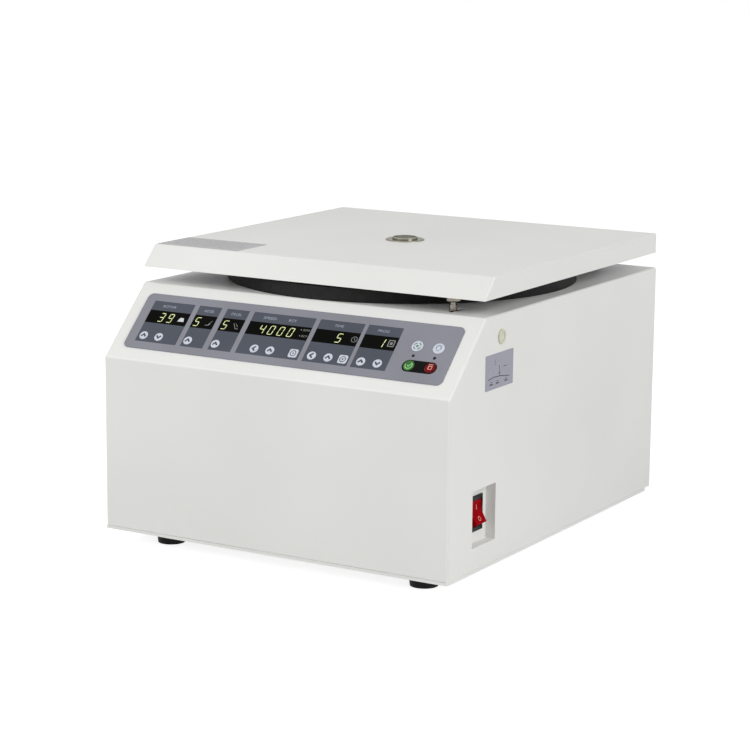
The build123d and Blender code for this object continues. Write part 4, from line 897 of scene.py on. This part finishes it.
# %% Build the screw tree
def screw_tree():
    """Node tree that sets a cross-head screw, which faces the way it is told, at each point of a mesh."""
    tree = bpy.data.node_groups.new("cross_head_screws", "GeometryNodeTree")
    sockets = tree.interface
    sockets.new_socket(name="Places", in_out="INPUT", socket_type="NodeSocketGeometry")
    for name in ("Head Radius", "Head Height", "Shank Radius", "Shank Length", "Recess Width"):
        sockets.new_socket(name=name, in_out="INPUT", socket_type="NodeSocketFloat")
    sockets.new_socket(name="Facing", in_out="INPUT", socket_type="NodeSocketRotation")
    sockets.new_socket(name="Finish", in_out="INPUT", socket_type="NodeSocketMaterial")
    sockets.new_socket(name="Screws", in_out="OUTPUT", socket_type="NodeSocketGeometry")
    given = add(tree, "NodeGroupInput").outputs
    screw = headed_shank(tree, given)
    odd = add(tree, "FunctionNodeRandomValue", {"Seed": 7}, data_type="FLOAT")
    odd.inputs[3].default_value = pi / 2
    spin = add(tree, "ShaderNodeCombineXYZ", {"Z": odd.outputs[1]}).outputs[0]
    turned = add(tree, "FunctionNodeEulerToRotation", {"Euler": spin}).outputs[0]
    facing = {"Rotation": given["Facing"], "Rotate By": turned}
    aimed = add(tree, "FunctionNodeRotateRotation", facing, rotation_space="LOCAL").outputs[0]
    set_out = {"Points": given["Places"], "Instance": screw, "Rotation": aimed}
    copies = add(tree, "GeometryNodeInstanceOnPoints", set_out).outputs["Instances"]
    solid = add(tree, "GeometryNodeRealizeInstances", {"Geometry": copies}).outputs["Geometry"]
    painted = {"Geometry": solid, "Material": given["Finish"]}
    finished = add(tree, "GeometryNodeSetMaterial", painted).outputs["Geometry"]
    add(tree, "NodeGroupOutput", {"Screws": finished})
    return tree


cross_head = screw_tree()
print("screw tree has", len(cross_head.nodes), "nodes")

# %% [markdown]
# ## Setting the screws
# Eight screws hold the rear panel, four on each side, and one holds each foot from below. A small mesh
# with a point at each place gets the tree as a modifier, and the result becomes a plain mesh. It stands
# for the plain screws that came with the solids. The feet's screws only have larger sizes.


# %% Set the screws
def grown(tree, places, sizes):
    """Plain mesh of what a node tree makes at places in mm, with its named inputs set."""
    seed = bpy.data.meshes.new("places")
    seed.from_pydata([Vector(p) * mm for p in places], [], [])
    holder = bpy.data.objects.new("places", seed)
    bpy.context.scene.collection.objects.link(holder)
    modifier = holder.modifiers.new("grow", "NODES")
    modifier.node_group = tree
    for socket in tree.interface.items_tree:
        if socket.name in sizes:
            modifier[socket.identifier] = sizes[socket.name]
    evaluated = holder.evaluated_get(bpy.context.evaluated_depsgraph_get())
    mesh = bpy.data.meshes.new_from_object(evaluated)
    holder.modifiers.remove(modifier)
    bpy.data.objects.remove(holder)
    bpy.data.meshes.remove(seed)
    weld(mesh)
    return mesh


rear_face, screw_x = 233.1, 206.5
lowest_screw, screw_pitch = 42.0, 73.167
screw_z = [lowest_screw + screw_pitch * row for row in range(4)]
rear_places = [(side * screw_x, rear_face, z) for side in (-1, 1) for z in screw_z]
rear_sizes = {"Head Radius": 3.8 * mm, "Head Height": 2.2 * mm, "Shank Radius": 2.0 * mm}
rear_sizes.update({"Shank Length": 5.0 * mm, "Recess Width": 0.9 * mm, "Finish": zinc})
rear_sizes["Facing"] = (-pi / 2, 0, 0)
rear_mesh = grown(cross_head, rear_places, rear_sizes)
rear_screws = piece("rear_panel_screws", rear_mesh, zinc, "cabinet")
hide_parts("panel_screws")
foot_places = [(x, y, 8.0) for x in (-161.0, 161.0) for y in (-198.0, 185.6)]
foot_sizes = dict(rear_sizes)
foot_sizes.update({"Head Radius": 4.5 * mm, "Head Height": 3.0 * mm, "Shank Radius": 2.5 * mm})
foot_sizes.update({"Shank Length": 17.0 * mm, "Facing": (pi, 0, 0)})
foot_mesh = grown(cross_head, foot_places, foot_sizes)
under_screws = piece("foot_fixing_screws", foot_mesh, zinc, "cabinet")
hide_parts("foot_screws")
print("screws:", len(rear_places), "behind and", len(foot_places), "below")

# %% [markdown]
# ## Floor
# A studio has no corner behind the object: the floor runs off into white. The floor is a large pale plane
# that takes the object's shadow. To the camera, in reflections and through clear parts it also shines,
# so that it reads as white and only the shadow is left, and the object gets no more light from it.


# %% Lay the floor
floor_reach, floor_glow = 12.0, 0.84


def seen_directly(tree):
    """1 for what the camera, a reflection or clear glass sees, else 0."""
    path = add(tree, "ShaderNodeLightPath").outputs
    pair = {0: path["Is Camera Ray"], 1: path["Is Glossy Ray"]}
    both = add(tree, "ShaderNodeMath", pair, operation="MAXIMUM").outputs[0]
    rest = {0: both, 1: path["Is Transmission Ray"]}
    return add(tree, "ShaderNodeMath", rest, operation="MAXIMUM").outputs[0]


def pale_floor(name, glow):
    """Matt pale grey that shines with that strength for what is seen directly."""
    material = bpy.data.materials.new(name)
    material.use_nodes = True
    tree = material.node_tree
    tree.nodes.clear()
    matt = add(tree, "ShaderNodeBsdfDiffuse", {"Color": linear("c6c6c6")}).outputs[0]
    shine = add(tree, "ShaderNodeEmission", {"Color": linear("ffffff"), "Strength": glow}).outputs[0]
    lit = add(tree, "ShaderNodeAddShader", {0: matt, 1: shine}).outputs[0]
    mixed = add(tree, "ShaderNodeMixShader", {0: seen_directly(tree), 1: matt, 2: lit}).outputs[0]
    add(tree, "ShaderNodeOutputMaterial", {"Surface": mixed})
    return material


floor_mesh = bpy.data.meshes.new("floor")
corners = [(floor_reach * x, floor_reach * y, 0) for x, y in ((-1, -1), (1, -1), (1, 1), (-1, 1))]
floor_mesh.from_pydata(corners, [], [(0, 1, 2, 3)])
floor = bpy.data.objects.new("floor", floor_mesh)
floor_mesh.materials.append(pale_floor("white_studio_floor", floor_glow))
bpy.context.scene.collection.objects.link(floor)
print("floor laid, metres across:", 2 * floor_reach)

# %% [markdown]
# ## White room
# The room is a plain white world. What is seen directly of it is full white. As a light it is weaker: it
# only fills the shadows, and the soft boxes do the rest.

# %% Set the world
fill_light, seen_white = 0.33, 1.0
world = bpy.data.worlds.new("white_room")
bpy.context.scene.world = world
world.use_nodes = True
room = world.node_tree
room.nodes.clear()
ambient = add(room, "ShaderNodeBackground", {"Color": linear("ffffff"), "Strength": fill_light}).outputs[0]
white = add(room, "ShaderNodeBackground", {"Color": linear("ffffff"), "Strength": seen_white}).outputs[0]
sky = add(room, "ShaderNodeMixShader", {0: seen_directly(room), 1: ambient, 2: white}).outputs[0]
add(room, "ShaderNodeOutputWorld", {"Surface": sky})
print("room ready")

# %% [markdown]
# ## Lamps
# Two large soft boxes light the object. One stands in front and to the left, high enough to make the
# sloping panel and the lid's leaning front the brightest faces. The other stands on the right for the
# side, and low enough to reach in under the lid's edge. Large lamps close by give soft shadows and wide,
# gentle highlights on the satin paint.


# %% Hang the soft boxes
def soft_box(name, place, aim, size, power):
    """A square area lamp at a place in metres, facing a point."""
    lamp = bpy.data.lights.new(name, "AREA")
    lamp.size = size
    lamp.energy = power
    made = bpy.data.objects.new(name, lamp)
    made.location = place
    made.rotation_euler = (Vector(aim) - Vector(place)).to_track_quat("-Z", "Y").to_euler()
    bpy.context.scene.collection.objects.link(made)
    return made


box_size = 1.8
soft_box("front_soft_box", (-1.15, -2.45, 1.86), (0, 0, 0.25), box_size, 50.5)
soft_box("side_soft_box", (2.75, -0.5, 1.5), (0, 0, 0.2), box_size, 46)
print("two soft boxes hung")

# %% [markdown]
# ## Camera
# A long lens from the front right, a little above the lid, keeps the box's edges nearly parallel. The
# camera is described by where it stands, the way it looks and a slight roll.

# %% Set the camera
azimuth, elevation, roll = radians(30.77), radians(11.19), radians(0.504)
standpoint = (1.34835, -2.29569, 0.69901)
backwards = Vector((sin(azimuth) * cos(elevation), -cos(azimuth) * cos(elevation), sin(elevation)))
level = Vector((cos(azimuth), sin(azimuth), 0))
upright = backwards.cross(level)
right = level * cos(roll) + upright * sin(roll)
top = upright * cos(roll) - level * sin(roll)
lens = bpy.data.cameras.new("studio_camera")
lens.lens = 115.2
lens.sensor_width = 36
camera = bpy.data.objects.new("studio_camera", lens)
aim = Matrix((right, top, backwards)).transposed().to_4x4()
camera.matrix_world = Matrix.Translation(standpoint) @ aim
bpy.context.scene.collection.objects.link(camera)
bpy.context.scene.camera = camera
bpy.context.scene.view_settings.view_transform = "Standard"
print("camera", round(camera.location.length, 2), "m away")
